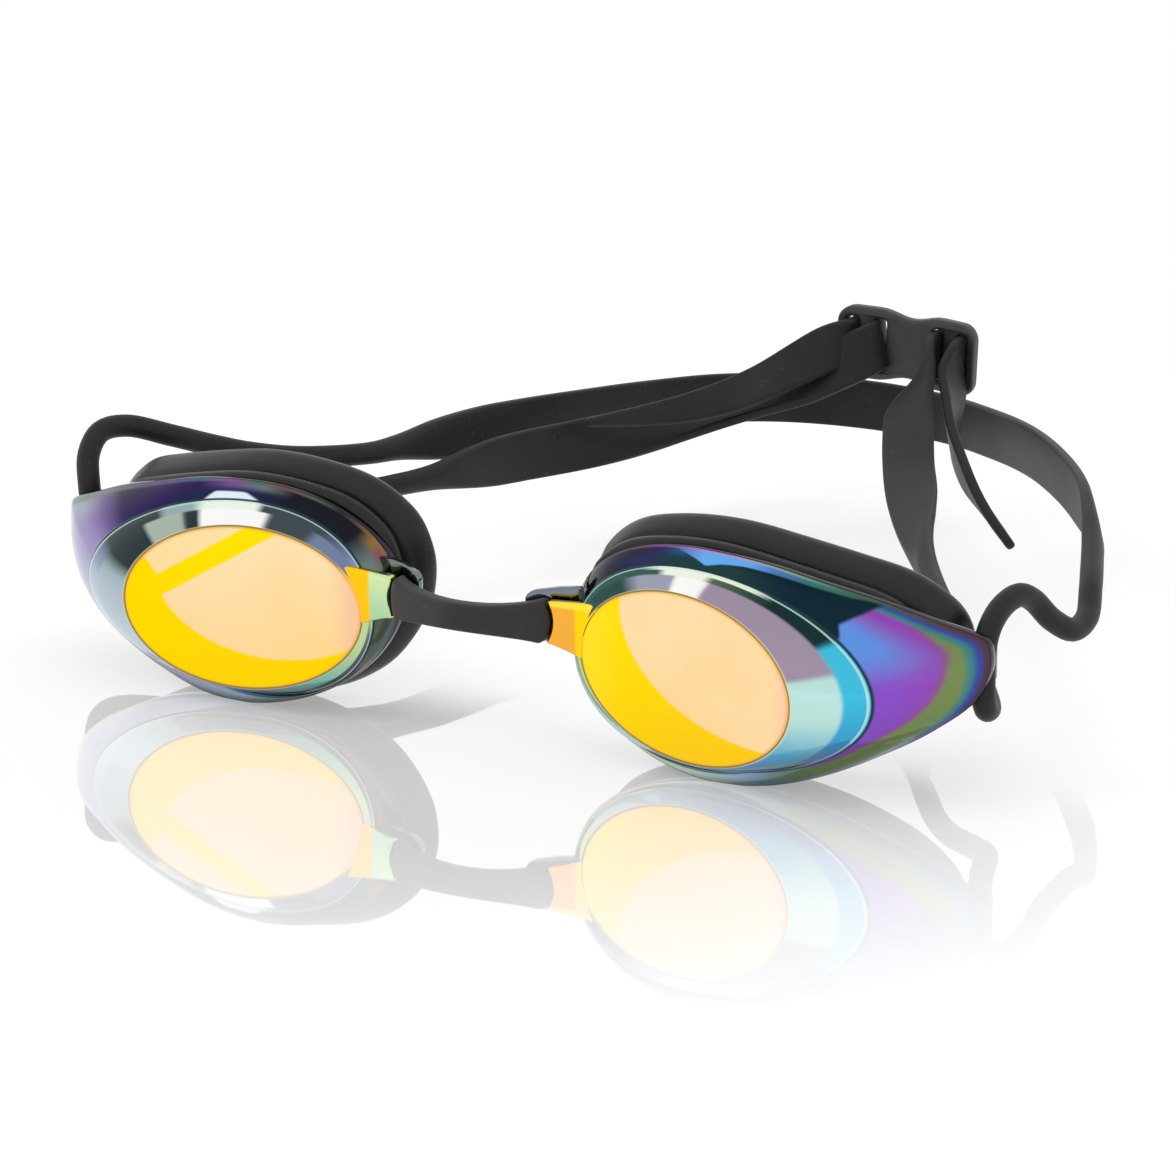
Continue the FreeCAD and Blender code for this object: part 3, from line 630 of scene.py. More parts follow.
RIGHT_LOWER_ROUTE = [
    (73.6, 18.0, 2.6, *CORD, 0), (73.6, 18.0, 0.4, *CORD, 0), (73.6, 18.1, -1.8, *CORD, 0),
    (73.4, 19.4, -4.0, *CORD, 0), (72.6, 22.2, -4.7, *CORD, 0), (66.4, 31.0, -2.6, *CORD, 0),
    (57.4, 42.0, 0.2, *CORD, 0), (51.2, 50.2, 1.1, *CORD, 0), (45.4, 59.0, 1.3, 3.3, 3.8, 6),
    (39.0, 69.0, 2.0, 2.6, 5.0, 34), (31.6, 82.0, 3.0, 1.8, 7.0, 72), (26.8, 91.0, 3.8, *BAND, 84),
    (21.8, 100.3, 5.1, *BAND, 88), (18.2, 107.5, 7.3, *BAND, 80), (15.0, 114.4, 9.7, *BAND, 62),
    (13.2, 121.9, 12.6, *BAND, 34),
]
RIGHT_TAIL_ROUTE = [
    (17.8, 123.9, 12.2, *BAND, 14), (19.6, 119.9, 9.0, 1.6, 7.6, 8), (22.2, 115.0, 6.0, 1.6, 7.0, 4),
    (25.1, 111.2, 3.7, 1.6, 6.4, 4), (28.4, 107.5, 1.7, 1.6, 5.8, 10), (32.6, 103.5, -0.4, 1.6, 4.8, 26),
    (37.1, 99.4, -2.4, 1.5, 3.4, 38), (41.1, 96.1, -4.2, 1.4, 1.8, 42),
]


def make_lower_strap(material):
    routes = (("left", -1, LEFT_LOWER_ROUTE, LEFT_TAIL_ROUTE),
              ("right", 1, RIGHT_LOWER_ROUTE, RIGHT_TAIL_ROUTE))
    for side, sign, route, tail in routes:
        rows = strap_rows(route + through_buckle(sign) + tail, 0.6)
        cut = row_at(rows, LOWER_SEAM_Y)
        cord_rows, strip_rows = strap_piece(rows, 0, cut), strap_piece(rows, cut, len(rows) - 1)
        piece = make_strap(side + "_lower_cord", cord_rows, material)
        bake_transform(piece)
        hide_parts(side + "_lower_strap")
        piece = make_strap(side + "_adjustable_strap", strip_rows, material, rounded_end=True)
        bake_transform(piece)
        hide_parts(side + "_adjustable_band", side + "_buckle_turn", side + "_tail")


# ---------------------------------------------------------------- buckle

BUCKLE_HALF, BUCKLE_END, BUCKLE_WAIST = 12.0, 5.8, 4.8      # half its length, and half its height
BUCKLE_CORNER, BUCKLE_BOW = 2.6, 1.5
WAIST_REACH = 5.4                                           # the waist's half-length
SLOT_HALF_WIDTH, SLOT_HALF_HEIGHT, SLOT_CORNER = 1.0, 4.1, 0.5
PLATE_HALF_THICKNESS, PLATE_EDGE_RADIUS = 0.55, 0.45


def buckle_contour():
    """The plate's outline as x and z, with round corners and a shallow waist above and below its middle."""
    contour = []
    for side, level, start in ((1, 1, 0), (-1, 1, 90), (-1, -1, 180), (1, -1, 270)):
        corner_x, corner_z = side * (BUCKLE_HALF - BUCKLE_CORNER), level * (BUCKLE_END - BUCKLE_CORNER)
        for i in range(9):
            a = math.radians(start + 90 * i / 8)
            contour.append((corner_x + BUCKLE_CORNER * math.cos(a), corner_z + BUCKLE_CORNER * math.sin(a)))
        if side == level:
            for i in range(1, 20):
                x = corner_x * (1 - i / 10)
                rise = 0.5 * (1 + math.cos(math.pi * min(abs(x) / WAIST_REACH, 1)))
                contour.append((x, level * (BUCKLE_END - (BUCKLE_END - BUCKLE_WAIST) * rise)))
    return contour


def flat_plate(outlines):
    """A mesh of a flat plate with rounded edges, filled between the first outline and the holes in it."""
    curve = bpy.data.curves.new("buckle_outline", "CURVE")
    curve.dimensions, curve.fill_mode = "2D", "BOTH"
    curve.extrude, curve.offset = PLATE_HALF_THICKNESS * MM, -PLATE_EDGE_RADIUS * MM
    curve.bevel_depth, curve.bevel_resolution = PLATE_EDGE_RADIUS * MM, 3
    for points in outlines:
        spline = curve.splines.new("POLY")
        spline.points.add(len(points) - 1)
        for target, (x, z) in zip(spline.points, points):
            target.co = (x * MM, z * MM, 0, 1)
        spline.use_cyclic_u = True
    shape = bpy.data.objects.new("buckle_shape", curve)
    bpy.context.collection.objects.link(shape)
    bpy.context.view_layer.update()
    mesh = bpy.data.meshes.new_from_object(shape)
    bpy.data.objects.remove(shape)
    return mesh


def bow_and_place(mesh):
    """Stand the flat plate up in its place behind the head, tilted, with its ends bowed forward."""
    edit = bmesh.new()
    edit.from_mesh(mesh)
    bmesh.ops.remove_doubles(edit, verts=edit.verts, dist=1e-6)
    for vertex in edit.verts:
        x, z, y = vertex.co / MM
        bow = BUCKLE_BOW * (x / BUCKLE_HALF) ** 2
        turned_x = x * math.cos(BUCKLE_TILT) + z * math.sin(BUCKLE_TILT)
        turned_z = z * math.cos(BUCKLE_TILT) - x * math.sin(BUCKLE_TILT)
        back_y = BUCKLE_FRONT_Y + BUCKLE_BOW - bow - y
        vertex.co = Vector(layout_point(BUCKLE_X + turned_x, back_y, BUCKLE_Z + turned_z))
    bmesh.ops.recalc_face_normals(edit, faces=edit.faces)
    edit.to_mesh(mesh)
    edit.free()


def make_buckle(material):
    slot = rounded_rectangle(SLOT_HALF_WIDTH, SLOT_HALF_HEIGHT, SLOT_CORNER)[::-1]
    slots = [slot + [sign * middle, 0] for sign in (-1, 1) for middle in (INNER_SLOT, OUTER_SLOT)]
    mesh = flat_plate([buckle_contour()] + slots)
    bow_and_place(mesh)
    mesh.materials.clear()
    mesh.materials.append(material)
    mesh.polygons.foreach_set("use_smooth", [True] * len(mesh.polygons))
    piece = bpy.data.objects.new("buckle_plate", mesh)
    bpy.context.collection.objects.link(piece)
    split = piece.modifiers.new("split", "EDGE_SPLIT")
    split.split_angle = math.radians(40)
    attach(piece, "lower_strap_rear")
    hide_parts("buckle")


# ---------------------------------------------------------------- materials

class Nodes:
    """A short way to write a node tree."""

    def __init__(self, tree):
        self.tree = tree
        tree.nodes.clear()

    def add(self, kind, inputs=None, **settings):
        node = self.tree.nodes.new(kind)
        for key, value in settings.items():
            setattr(node, key, value)
        for key, value in (inputs or {}).items():
            self.plug(node.inputs[key], value)
        return node

    def plug(self, socket, value):
        if isinstance(value, bpy.types.NodeSocket):
            self.tree.links.new(value, socket)
        else:
            socket.default_value = value

    def math(self, operation, *values):
        node = self.add("ShaderNodeMath", operation=operation)
        for i, value in enumerate(values):
            self.plug(node.inputs[i], value)
        return node.outputs[0]

    def product(self, first, *others):
        for other in others:
            first = self.math("MULTIPLY", first, other)
        return first

    def mix(self, share, a, b):
        node = self.add("ShaderNodeMix", data_type="RGBA", clamp_factor=True)
        self.plug(node.inputs[0], share)
        self.plug(node.inputs[6], colour(a))
        self.plug(node.inputs[7], colour(b))
        return node.outputs[2]

    def step(self, value, low, high):
        """0 up to low and 1 from high on, with a smooth rise between. With low above high it falls."""
        node = self.add("ShaderNodeMapRange", {"Value": value, "From Min": low, "From Max": high},
                        interpolation_type="SMOOTHSTEP")
        return node.outputs[0]

    def spread(self, value, low, high):
        """A value from 0 to 1 turned into one from low to high."""
        return self.add("ShaderNodeMapRange", {"Value": value, "To Min": low, "To Max": high}).outputs[0]

    def ramp(self, value, stops):
        node = self.add("ShaderNodeValToRGB", {"Fac": value})
        node.color_ramp.interpolation = "LINEAR"
        elements = node.color_ramp.elements
        while len(elements) < len(stops):
            elements.new(0.5)
        for element, (position, shade) in zip(elements, stops):
            element.position = position
            element.color = colour(shade)
        return node.outputs[0]

    def noise(self, scale, detail, roughness, coordinates):
        return self.add("ShaderNodeTexNoise", {"Scale": scale, "Detail": detail, "Roughness": roughness,
                                               "Vector": coordinates}).outputs[0]

    def bump(self, height, strength, distance):
        return self.add("ShaderNodeBump", {"Height": height, "Strength": strength,
                                           "Distance": distance}).outputs[0]


def colour(value):
    if isinstance(value, bpy.types.NodeSocket):
        return value
    return tuple(value) + (1.0,) if len(value) == 3 else tuple(value)


def linear(red, green, blue):
    """A colour written as it looks on screen, 0 to 255, as the linear colour that a shader wants."""
    values = []
    for channel in (red, green, blue):
        share = channel / 255
        values.append(share / 12.92 if share <= 0.04045 else ((share + 0.055) / 1.055) ** 2.4)
    return tuple(values)


def new_material(name):
    material = bpy.data.materials.new(name)
    material.use_nodes = True
    return material, Nodes(material.node_tree)


def rubber(name, base, roughness, specular=0.22):
    """Moulded silicone: fine grain, faint mottling and a few pale specks of dust."""
    material, n = new_material(name)
    coordinates = n.add("ShaderNodeTexCoord").outputs["Object"]
    mottle = n.noise(120, 4, 0.6, coordinates)
    grain = n.noise(2600, 2, 0.6, coordinates)
    specks = n.step(n.noise(900, 1, 0.4, coordinates), 0.74, 0.8)
    shade = n.mix(n.step(mottle, 0.3, 0.7), [c * 0.82 for c in base], [c * 1.2 for c in base])
    shade = n.mix(n.product(specks, 0.05), shade, (0.4, 0.4, 0.4))
    height = n.math("ADD", grain, n.product(mottle, 0.6))
    shader = n.add("ShaderNodeBsdfPrincipled", {
        "Base Color": shade, "Roughness": n.spread(mottle, roughness - 0.06, roughness + 0.06),
        "Specular IOR Level": specular, "Sheen Weight": 0.06, "Sheen Roughness": 0.35,
        "Normal": n.bump(height, 0.25, 0.12 * MM)})
    n.add("ShaderNodeOutputMaterial", {"Surface": shader.outputs[0]})
    return material


def plastic(name, base, roughness):
    """Spark-textured moulded plastic, cloudy in its colour and its shine."""
    material, n = new_material(name)
    coordinates = n.add("ShaderNodeTexCoord").outputs["Object"]
    texture = n.noise(1500, 3, 0.6, coordinates)
    cloud = n.noise(60, 3, 0.5, coordinates)
    shade = n.mix(n.step(cloud, 0.35, 0.7), [c * 0.85 for c in base], [c * 1.15 for c in base])
    shader = n.add("ShaderNodeBsdfPrincipled", {
        "Base Color": shade, "Roughness": n.spread(cloud, roughness - 0.08, roughness + 0.05), "IOR": 1.5,
        "Normal": n.bump(texture, 0.3, 0.04 * MM)})
    n.add("ShaderNodeOutputMaterial", {"Surface": shader.outputs[0]})
    return material


# The mirror coating's colours, as they look on screen, with the whites, creams and darks that paint its
# reflections of the studio
COATING_AND_PAINTED_REFLECTION_COLOURS = {
    "white": (253, 254, 251), "cream": (240, 248, 234), "silver": (190, 208, 216),
    "pewter": (168, 182, 194), "haze": (150, 175, 176), "steel": (124, 147, 170),
    "grey": (106, 120, 120), "dim": (88, 98, 100), "slate": (68, 78, 82), "ink": (44, 55, 60),
    "coal": (32, 32, 40), "shadow": (44, 46, 58), "stone": (190, 199, 165), "sage": (168, 182, 170),
    "lichen": (86, 95, 82), "taupe": (106, 101, 100), "lime": (205, 215, 125),
    "pale_green": (190, 215, 155), "sea_green": (128, 186, 170), "leaf": (150, 190, 120),
    "fern": (98, 120, 102), "moss": (80, 110, 82), "pine": (58, 94, 86), "jade": (62, 114, 92),
    "teal": (48, 80, 76), "spruce": (35, 64, 64), "night": (28, 52, 52), "midnight": (23, 44, 56),
    "abyss": (15, 40, 48), "petrol": (60, 115, 125), "sand": (215, 205, 140), "mist": (170, 200, 202),
    "aqua": (184, 225, 218), "cyan": (66, 190, 221), "azure": (62, 165, 211), "lagoon": (98, 177, 207),
    "sky": (115, 163, 200), "bright_sky": (105, 172, 239), "deep_blue": (40, 88, 125),
    "cornflower": (84, 120, 196), "periwinkle": (100, 126, 196), "slate_blue": (113, 128, 160),
    "grey_lilac": (158, 160, 180), "mauve": (160, 145, 166), "lilac": (168, 170, 202),
    "wisteria": (152, 138, 190), "purple": (104, 80, 140), "plum": (48, 33, 84), "navy": (37, 43, 80),
    "indigo": (50, 50, 95), "dusk": (85, 88, 100), "orchid": (210, 120, 200), "berry": (150, 80, 145),
    "rose": (133, 72, 86), "bronze": (140, 110, 62), "brown": (90, 60, 50),
}
# Where they lie. Each ramp runs round the window, as a share of the turn, from the nose (0) by the bottom
# (0.25), the temple (0.5) and the top (0.75) back to the nose.
# The light and dark along these ramps is painted reflection of the studio, and the white and cream stops at
# the top are painted softbox highlights. Their hues are the coating's own.
BEVEL_INNER = {
    "right": [(0, "lime"), (0.05, "pale_green"), (0.15, "mist"), (0.29, "sky"), (0.34, "sky"),
              (0.4, "lagoon"), (0.48, "aqua"), (0.545, "aqua"), (0.553, "mauve"), (0.726, "mauve"),
              (0.732, "white"), (0.768, "white"), (0.774, "grey_lilac"), (0.82, "grey_lilac"),
              (0.845, "teal"), (0.9, "teal"), (0.95, "moss"), (0.975, "lime"), (1, "lime")],
    "left": [(0, "pale_green"), (0.06, "pale_green"), (0.15, "sea_green"), (0.24, "steel"),
             (0.26, "steel"), (0.4, "silver"), (0.43, "silver"), (0.52, "pewter"), (0.545, "haze"),
             (0.566, "ink"), (0.622, "ink"), (0.628, "sage"), (0.675, "sage"), (0.681, "ink"),
             (0.696, "ink"), (0.702, "white"), (0.782, "white"), (0.79, "slate"), (0.838, "slate"),
             (0.85, "slate_blue"), (0.915, "slate_blue"), (0.945, "sage"), (0.975, "sand"),
             (1, "pale_green")],
}
BEVEL_OUTER = {
    "right": [(0, "pale_green"), (0.09, "mist"), (0.2, "sky"), (0.3, "periwinkle"), (0.38, "periwinkle"),
              (0.45, "azure"), (0.53, "cyan"), (0.583, "cyan"), (0.591, "night"), (0.66, "night"),
              (0.728, "moss"), (0.738, "cream"), (0.786, "cream"), (0.796, "pine"), (0.92, "pine"),
              (0.97, "leaf"), (1, "pale_green")],
    "left": [(0, "pale_green"), (0.04, "grey"), (0.08, "dusk"), (0.16, "dusk"), (0.25, "steel"),
             (0.4, "silver"), (0.47, "silver"), (0.52, "pewter"), (0.555, "slate_blue"), (0.57, "ink"),
             (0.645, "ink"), (0.655, "haze"), (0.69, "haze"), (0.704, "cream"), (0.768, "cream"),
             (0.776, "slate"), (0.85, "slate"), (0.9, "slate_blue"), (0.95, "sage"), (1, "pale_green")],
}
WING_INNER = {
    "right": [(0, "grey"), (0.18, "stone"), (0.23, "stone"), (0.27, "haze"), (0.31, "steel"),
              (0.36, "fern"), (0.4, "fern"), (0.6, "midnight"), (0.66, "midnight"), (0.72, "spruce"),
              (0.78, "spruce"), (0.82, "indigo"), (0.86, "shadow"), (0.9, "slate"), (0.95, "ink"),
              (1, "grey")],
    "left": [(0, "lichen"), (0.07, "lichen"), (0.12, "taupe"), (0.15, "taupe"), (0.2, "grey"),
             (0.27, "steel"), (0.34, "grey_lilac"), (0.43, "lilac"), (0.5, "lilac"), (0.555, "wisteria"),
             (0.58, "purple"), (0.6, "plum"), (0.65, "plum"), (0.7, "navy"), (0.76, "navy"),
             (0.8, "coal"), (0.88, "coal"), (0.92, "grey"), (0.97, "grey"), (1, "lichen")],
}
WING_OUTER = {
    "right": [(0, "dim"), (0.18, "sage"), (0.23, "sage"), (0.32, "grey"), (0.4, "dim"),
              (0.6, "midnight"), (0.66, "abyss"), (0.73, "abyss"), (0.775, "deep_blue"),
              (0.795, "indigo"), (0.82, "shadow"), (0.95, "ink"), (1, "dim")],
    "left": [(0, "dim"), (0.14, "dim"), (0.19, "slate"), (0.24, "lichen"), (0.35, "grey_lilac"),
             (0.56, "grey_lilac"), (0.585, "purple"), (0.605, "coal"), (0.66, "plum"), (0.7, "plum"),
             (0.73, "purple"), (0.77, "grey"), (0.8, "coal"), (0.88, "coal"), (0.9, "bronze"),
             (0.92, "rose"), (0.935, "moss"), (0.96, "slate"), (1, "dim")],
}
RAINBOW = [(0.6, "slate"), (0.63, "jade"), (0.66, "petrol"), (0.685, "cornflower"), (0.71, "bright_sky"),
           (0.75, "bright_sky"), (0.77, "periwinkle"), (0.79, "indigo")]
RIM_EDGE = {
    "right": [(0, "slate"), (0.3, "slate"), (0.45, "indigo"), (0.56, "brown"), (0.63, "jade"),
              (0.68, "leaf"), (0.74, "orchid"), (0.8, "berry"), (0.86, "shadow"), (1, "slate")],
    "left": [(0, "slate"), (0.3, "dim"), (0.5, "fern"), (0.58, "fern"), (0.66, "purple"),
             (0.7, "petrol"), (0.735, "berry"), (0.76, "jade"), (0.79, "rose"), (0.82, "moss"),
             (0.85, "shadow"), (0.9, "bronze"), (1, "slate")],
}
# Where the violet of the right-hand wing's tip ends, and where the rainbow under its top rim starts, as
# shares of the way from the ring (0) to the rim (1), round the turn
VIOLET_END = [(0.36, 0), (0.4, 0.07), (0.44, 0.17), (0.47, 0.35), (0.5, 0.48), (0.56, 0.66), (0.6, 0.93)]
RAINBOW_START = [(0.6, 1), (0.62, 0.84), (0.67, 0.73), (0.71, 0.62), (0.73, 0.45), (0.745, 0.2),
                 (0.757, 0.45), (0.78, 0.86), (0.79, 1)]


def coating_and_painted_reflection_ramp(n, turn, stops):
    return n.ramp(turn, [(share, linear(*COATING_AND_PAINTED_REFLECTION_COLOURS[name])) for share, name in stops])


def grey_ramp(n, value, stops):
    return n.ramp(value, [(position, (level, level, level)) for position, level in stops])


# The pale patch in each window, a painted reflection of the studio: an ellipse's middle and its reach, in
# half windows
PAINTED_REFLECTION_ELLIPSE = {"right": (0.71, 0.71, 1.33, 1.33), "left": (-0.32, 0.47, 1.06, 1.1)}


def gold_shade(n, side, u, v):
    """The window's own colour."""
    gold = n.mix(n.step(v, -1.0, 0.6), linear(255, 213, 10), linear(255, 222, 8))
    if side == "left":
        return n.mix(n.step(u, 0.2, 0.9), gold, linear(253, 216, 2))
    gold = n.mix(n.step(u, -0.5, -1.0), gold, linear(255, 226, 40))
    return n.mix(n.product(n.step(v, 0.0, -1.0), n.step(u, -0.7, 0.3)), gold, linear(255, 204, 28))


def painted_reflection_shade(n, side, u, v, coordinates):
    """The pale patch, a painted reflection of the studio in the window, a little cloudy."""
    cloud = n.noise(70, 3, 0.5, coordinates)
    peach = n.mix(n.step(v, -0.9, 0.9), linear(255, 214, 138), linear(254, 224, 178))
    peach = n.mix(n.step(u, -1.0, 1.0), peach, linear(253, 219, 166))
    peach = n.mix(n.product(n.step(cloud, 0.4, 0.7), 0.35), peach, linear(255, 210, 142))
    if side == "left":
        return n.mix(n.step(u, -0.7, -1.0), peach, linear(246, 200, 160))
    return n.mix(n.step(u, 0.82, 1.0), peach, linear(250, 206, 170))


def painted_reflection_mask(n, side, u, v):
    """Where the pale patch of painted reflection is. On the left a gold bar crosses it, and a second piece
    lies above the bar.
    """
    middle_u, middle_v, reach_u, reach_v = PAINTED_REFLECTION_ELLIPSE[side]
    across = n.math("DIVIDE", n.math("SUBTRACT", u, middle_u), reach_u)
    upward = n.math("DIVIDE", n.math("SUBTRACT", v, middle_v), reach_v)
    reach = n.math("SQRT", n.math("ADD", n.product(across, across), n.product(upward, upward)))
    painted_reflection = n.step(reach, 1.012, 0.985)
    if side == "right":
        return painted_reflection
    slope = n.math("ADD", v, n.product(u, 0.81))
    painted_reflection = n.product(painted_reflection, n.step(slope, 0.672, 0.65))
    corner = n.product(n.step(slope, 0.93, 0.95),
                       n.step(n.math("SUBTRACT", n.product(v, 0.42), u), -0.565, -0.545))
    return n.math("MAXIMUM", painted_reflection, n.product(corner, 0.9))


def window_shade(n, side, u, v, coordinates):
    # The gold coating, with the painted reflection of the studio laid over it.
    shade = n.mix(painted_reflection_mask(n, side, u, v), gold_shade(n, side, u, v),
                  painted_reflection_shade(n, side, u, v, coordinates))
    edge = n.step(n.math("ADD", n.product(u, u), n.product(v, v)), 0.95, 0.99)
    return n.mix(n.product(edge, 0.55), shade, linear(250, 176, 40))


def bevel_shade(n, side, turn, bevel):
    """The ring round the window, with a painted highlight line near its outer edge, and on the right a
    painted highlight strip across its top.
    """
    inner = coating_and_painted_reflection_ramp(n, turn, BEVEL_INNER[side])
    outer = coating_and_painted_reflection_ramp(n, turn, BEVEL_OUTER[side])
    shade = n.mix(n.step(bevel, 0.6, 0.68), inner, outer)
    shade = n.mix(n.product(n.step(bevel, 0.05, 0.0), 0.8), shade, linear(236, 214, 150))
    if side == "right":
        # A painted highlight: a pale strip across the top of the right-hand ring.
        painted_top_highlight = n.product(n.step(turn, 0.66, 0.69), n.step(turn, 0.82, 0.79))
        shade = n.mix(n.product(painted_top_highlight, n.step(bevel, 0.84, 0.88)), shade, linear(242, 248, 224))
    # A painted highlight: a pale line near the ring's raised outer edge.
    line = n.product(n.step(bevel, 0.925, 0.95), n.step(bevel, 0.985, 0.965))
    return n.mix(n.product(line, 0.75), shade, linear(196, 236, 228))


def temple_shade(n, turn, wing):
    """The tip of the right-hand wing: violet, then bands of olive, green, blue and brown along the rim."""
    past_violet = n.math("SUBTRACT", wing, grey_ramp(n, turn, VIOLET_END))
    shade = n.mix(n.step(wing, 0.05, 0.5), linear(134, 80, 196), linear(144, 74, 180))
    blue = n.product(n.step(turn, 0.515, 0.572), n.step(wing, 0.72, 0.2))
    shade = n.mix(blue, shade, linear(96, 148, 228))
    shade = n.mix(n.step(past_violet, -0.05, 0.03), shade, linear(140, 88, 140))
    shade = n.mix(n.step(past_violet, 0.01, 0.1), shade, linear(116, 138, 82))
    shade = n.mix(n.step(wing, 0.74, 0.83), shade, linear(64, 130, 128))
    shade = n.mix(n.step(wing, 0.82, 0.9), shade, linear(62, 76, 158))
    return n.mix(n.step(wing, 0.91, 0.98), shade, linear(96, 58, 84))


def right_wing(n, turn, wing, shade):
    """The violet temple and the rainbow along the top, over the wing's ramps."""
    edge = n.math("SUBTRACT", turn, n.product(n.step(wing, 0.0, 0.25), 0.014))
    temple = n.product(n.step(edge, 0.591, 0.586), n.step(turn, 0.31, 0.41))
    shade = n.mix(temple, shade, temple_shade(n, turn, wing))
    past_start = n.math("SUBTRACT", wing, grey_ramp(n, turn, RAINBOW_START))
    return n.mix(n.step(past_start, -0.03, 0.06), shade, coating_and_painted_reflection_ramp(n, turn, RAINBOW))


def left_wing(n, turn, wing, shade):
    """A painted reflection of a softbox: the white patch next to the ring at the top, over the wing's ramps.
    """
    lean = n.product(wing, 0.04)
    painted_reflection = n.product(n.step(n.math("SUBTRACT", turn, lean), 0.7, 0.706),
                      n.step(n.math("ADD", turn, lean), 0.77, 0.762), n.step(wing, 0.42, 0.3))
    return n.mix(painted_reflection, shade, linear(228, 238, 250))


def wing_shade(n, side, turn, wing):
    inner = coating_and_painted_reflection_ramp(n, turn, WING_INNER[side])
    outer = coating_and_painted_reflection_ramp(n, turn, WING_OUTER[side])
    shade = n.mix(n.step(wing, 0.35, 0.75), inner, outer)
    shade = (right_wing if side == "right" else left_wing)(n, turn, wing, shade)
    edge_start = 0.88 if side == "right" else 0.8
    edge = n.product(n.step(wing, edge_start, edge_start + 0.1), 0.85)
    shade = n.mix(edge, shade, coating_and_painted_reflection_ramp(n, turn, RIM_EDGE[side]))
    return n.mix(n.step(wing, 0.035, 0.01), shade, linear(40, 60, 66))


def arm_shade(n, side, u, v):
    if side == "right":
        shade = n.mix(n.step(u, 0.62, 0.72), linear(245, 176, 62), linear(255, 214, 20))
        shade = n.mix(n.step(v, 0.55, 0.7), shade, linear(255, 226, 60))
        return n.mix(n.step(u, 0.12, 0.0), shade, linear(226, 150, 40))
    shade = n.mix(n.step(v, -0.8, 0.8), linear(176, 214, 170), linear(206, 232, 170))
    shade = n.mix(n.step(u, 0.52, 0.6), shade, linear(255, 200, 22))
    return n.mix(n.step(u, 0.1, 0.0), shade, linear(240, 220, 90))


def film(name, side):
    """The mirror coating over the whole lens; its colour is the coating's own, with painted reflections of
    the studio. The film attribute carries u and v across and up the window,
    and the zone: up to 1 the window, 2 the bevel, 3 the wing, then edge, inside, arm, plate and hook."""
    material, n = new_material(name)
    marks = n.add("ShaderNodeAttribute", attribute_name="film").outputs["Vector"]
    u, v, zone = n.add("ShaderNodeSeparateXYZ", {"Vector": marks}).outputs
    coordinates = n.add("ShaderNodeTexCoord").outputs["Object"]
    wander = n.product(n.math("SUBTRACT", n.noise(60, 2, 0.5, coordinates), 0.5), 0.016)
    turn = n.math("MULTIPLY_ADD", n.math("ARCTAN2", v, u), 0.5 / math.pi, 0.5)
    turn = n.math("ADD", turn, wander)
    wing = n.math("ADD", n.math("SUBTRACT", zone, 2.0), wander)
    bevel = n.math("SUBTRACT", zone, 1.0)
    shade = window_shade(n, side, u, v, coordinates)
    shade = n.mix(n.step(zone, 1.0, 1.004), shade, linear(150, 130, 84))
    shade = n.mix(n.step(zone, 1.008, 1.012), shade, bevel_shade(n, side, turn, bevel))
    shade = n.mix(n.step(zone, 1.99, 2.005), shade, wing_shade(n, side, turn, wing))
    shade = n.mix(n.step(zone, 3.0, 3.15), shade, linear(46, 46, 58))
    shade = n.mix(n.step(zone, 3.25, 3.35), shade, linear(52, 56, 74))
    shade = n.mix(n.step(zone, 4.0, 4.5), shade, arm_shade(n, side, u, v))
    shade = n.mix(n.step(zone, 5.4, 5.6), shade, linear(120, 127, 138))
    shader = n.add("ShaderNodeBsdfPrincipled", {
        "Base Color": shade, "Metallic": 1.0,
        "Roughness": n.spread(n.noise(240, 3, 0.6, coordinates), 0.03, 0.07),
        "Normal": n.bump(n.noise(30, 2, 0.5, coordinates), 0.1, 0.02 * MM)})
    n.add("ShaderNodeOutputMaterial", {"Surface": shader.outputs[0]})
    return material


# ---------------------------------------------------------------- studio

# In metres: half the floor's side and its drop below the goggles, the distances over which it stops mirroring
# them, the depths behind the lenses where it mirrors fully and not at all, and where it turns lit white
FLOOR_HALF, FLOOR_DROP = 6.0, 0.0001
MIRROR_FULL, MIRROR_NONE = 0.04, 0.14
BEHIND_FULL, BEHIND_NONE = 0.008, 0.03
LIT_START, LIT_FULL = 0.07, 0.3
MIRROR_SHARE, LIT_SHARE = 0.42, 0.6


def floor_look():
    """White and glossy: it mirrors the goggles close by and turns into an even, lit white farther off."""
    material, n = new_material("studio_floor")
    coordinates = n.add("ShaderNodeTexCoord").outputs["Object"]
    measure = n.add("ShaderNodeVectorMath", {0: coordinates, 1: tuple(LAYOUT_ORIGIN)},
                    operation="DISTANCE")
    distance = measure.outputs["Value"]
    depth = n.add("ShaderNodeSeparateXYZ", {"Vector": coordinates}).outputs["Y"]
    in_front = n.step(depth, LAYOUT_ORIGIN[1] + BEHIND_NONE, LAYOUT_ORIGIN[1] + BEHIND_FULL)
    mirroring = n.product(n.step(distance, MIRROR_NONE, MIRROR_FULL), in_front, MIRROR_SHARE)
    paper = n.add("ShaderNodeBsdfDiffuse", {"Color": (0.93, 0.93, 0.93, 1)})
    glow = n.add("ShaderNodeEmission", {"Color": (1, 1, 1, 1)})
    lit = n.math("MAXIMUM", n.step(distance, LIT_START, LIT_FULL), LIT_SHARE)
    white = n.add("ShaderNodeMixShader", {0: lit, 1: paper.outputs[0], 2: glow.outputs[0]})
    mirror = n.add("ShaderNodeBsdfGlossy", {"Color": (0.97, 0.97, 0.97, 1), "Roughness": 0.02})
    shader = n.add("ShaderNodeMixShader", {0: mirroring, 1: white.outputs[0], 2: mirror.outputs[0]})
    n.add("ShaderNodeOutputMaterial", {"Surface": shader.outputs[0]})
    return material


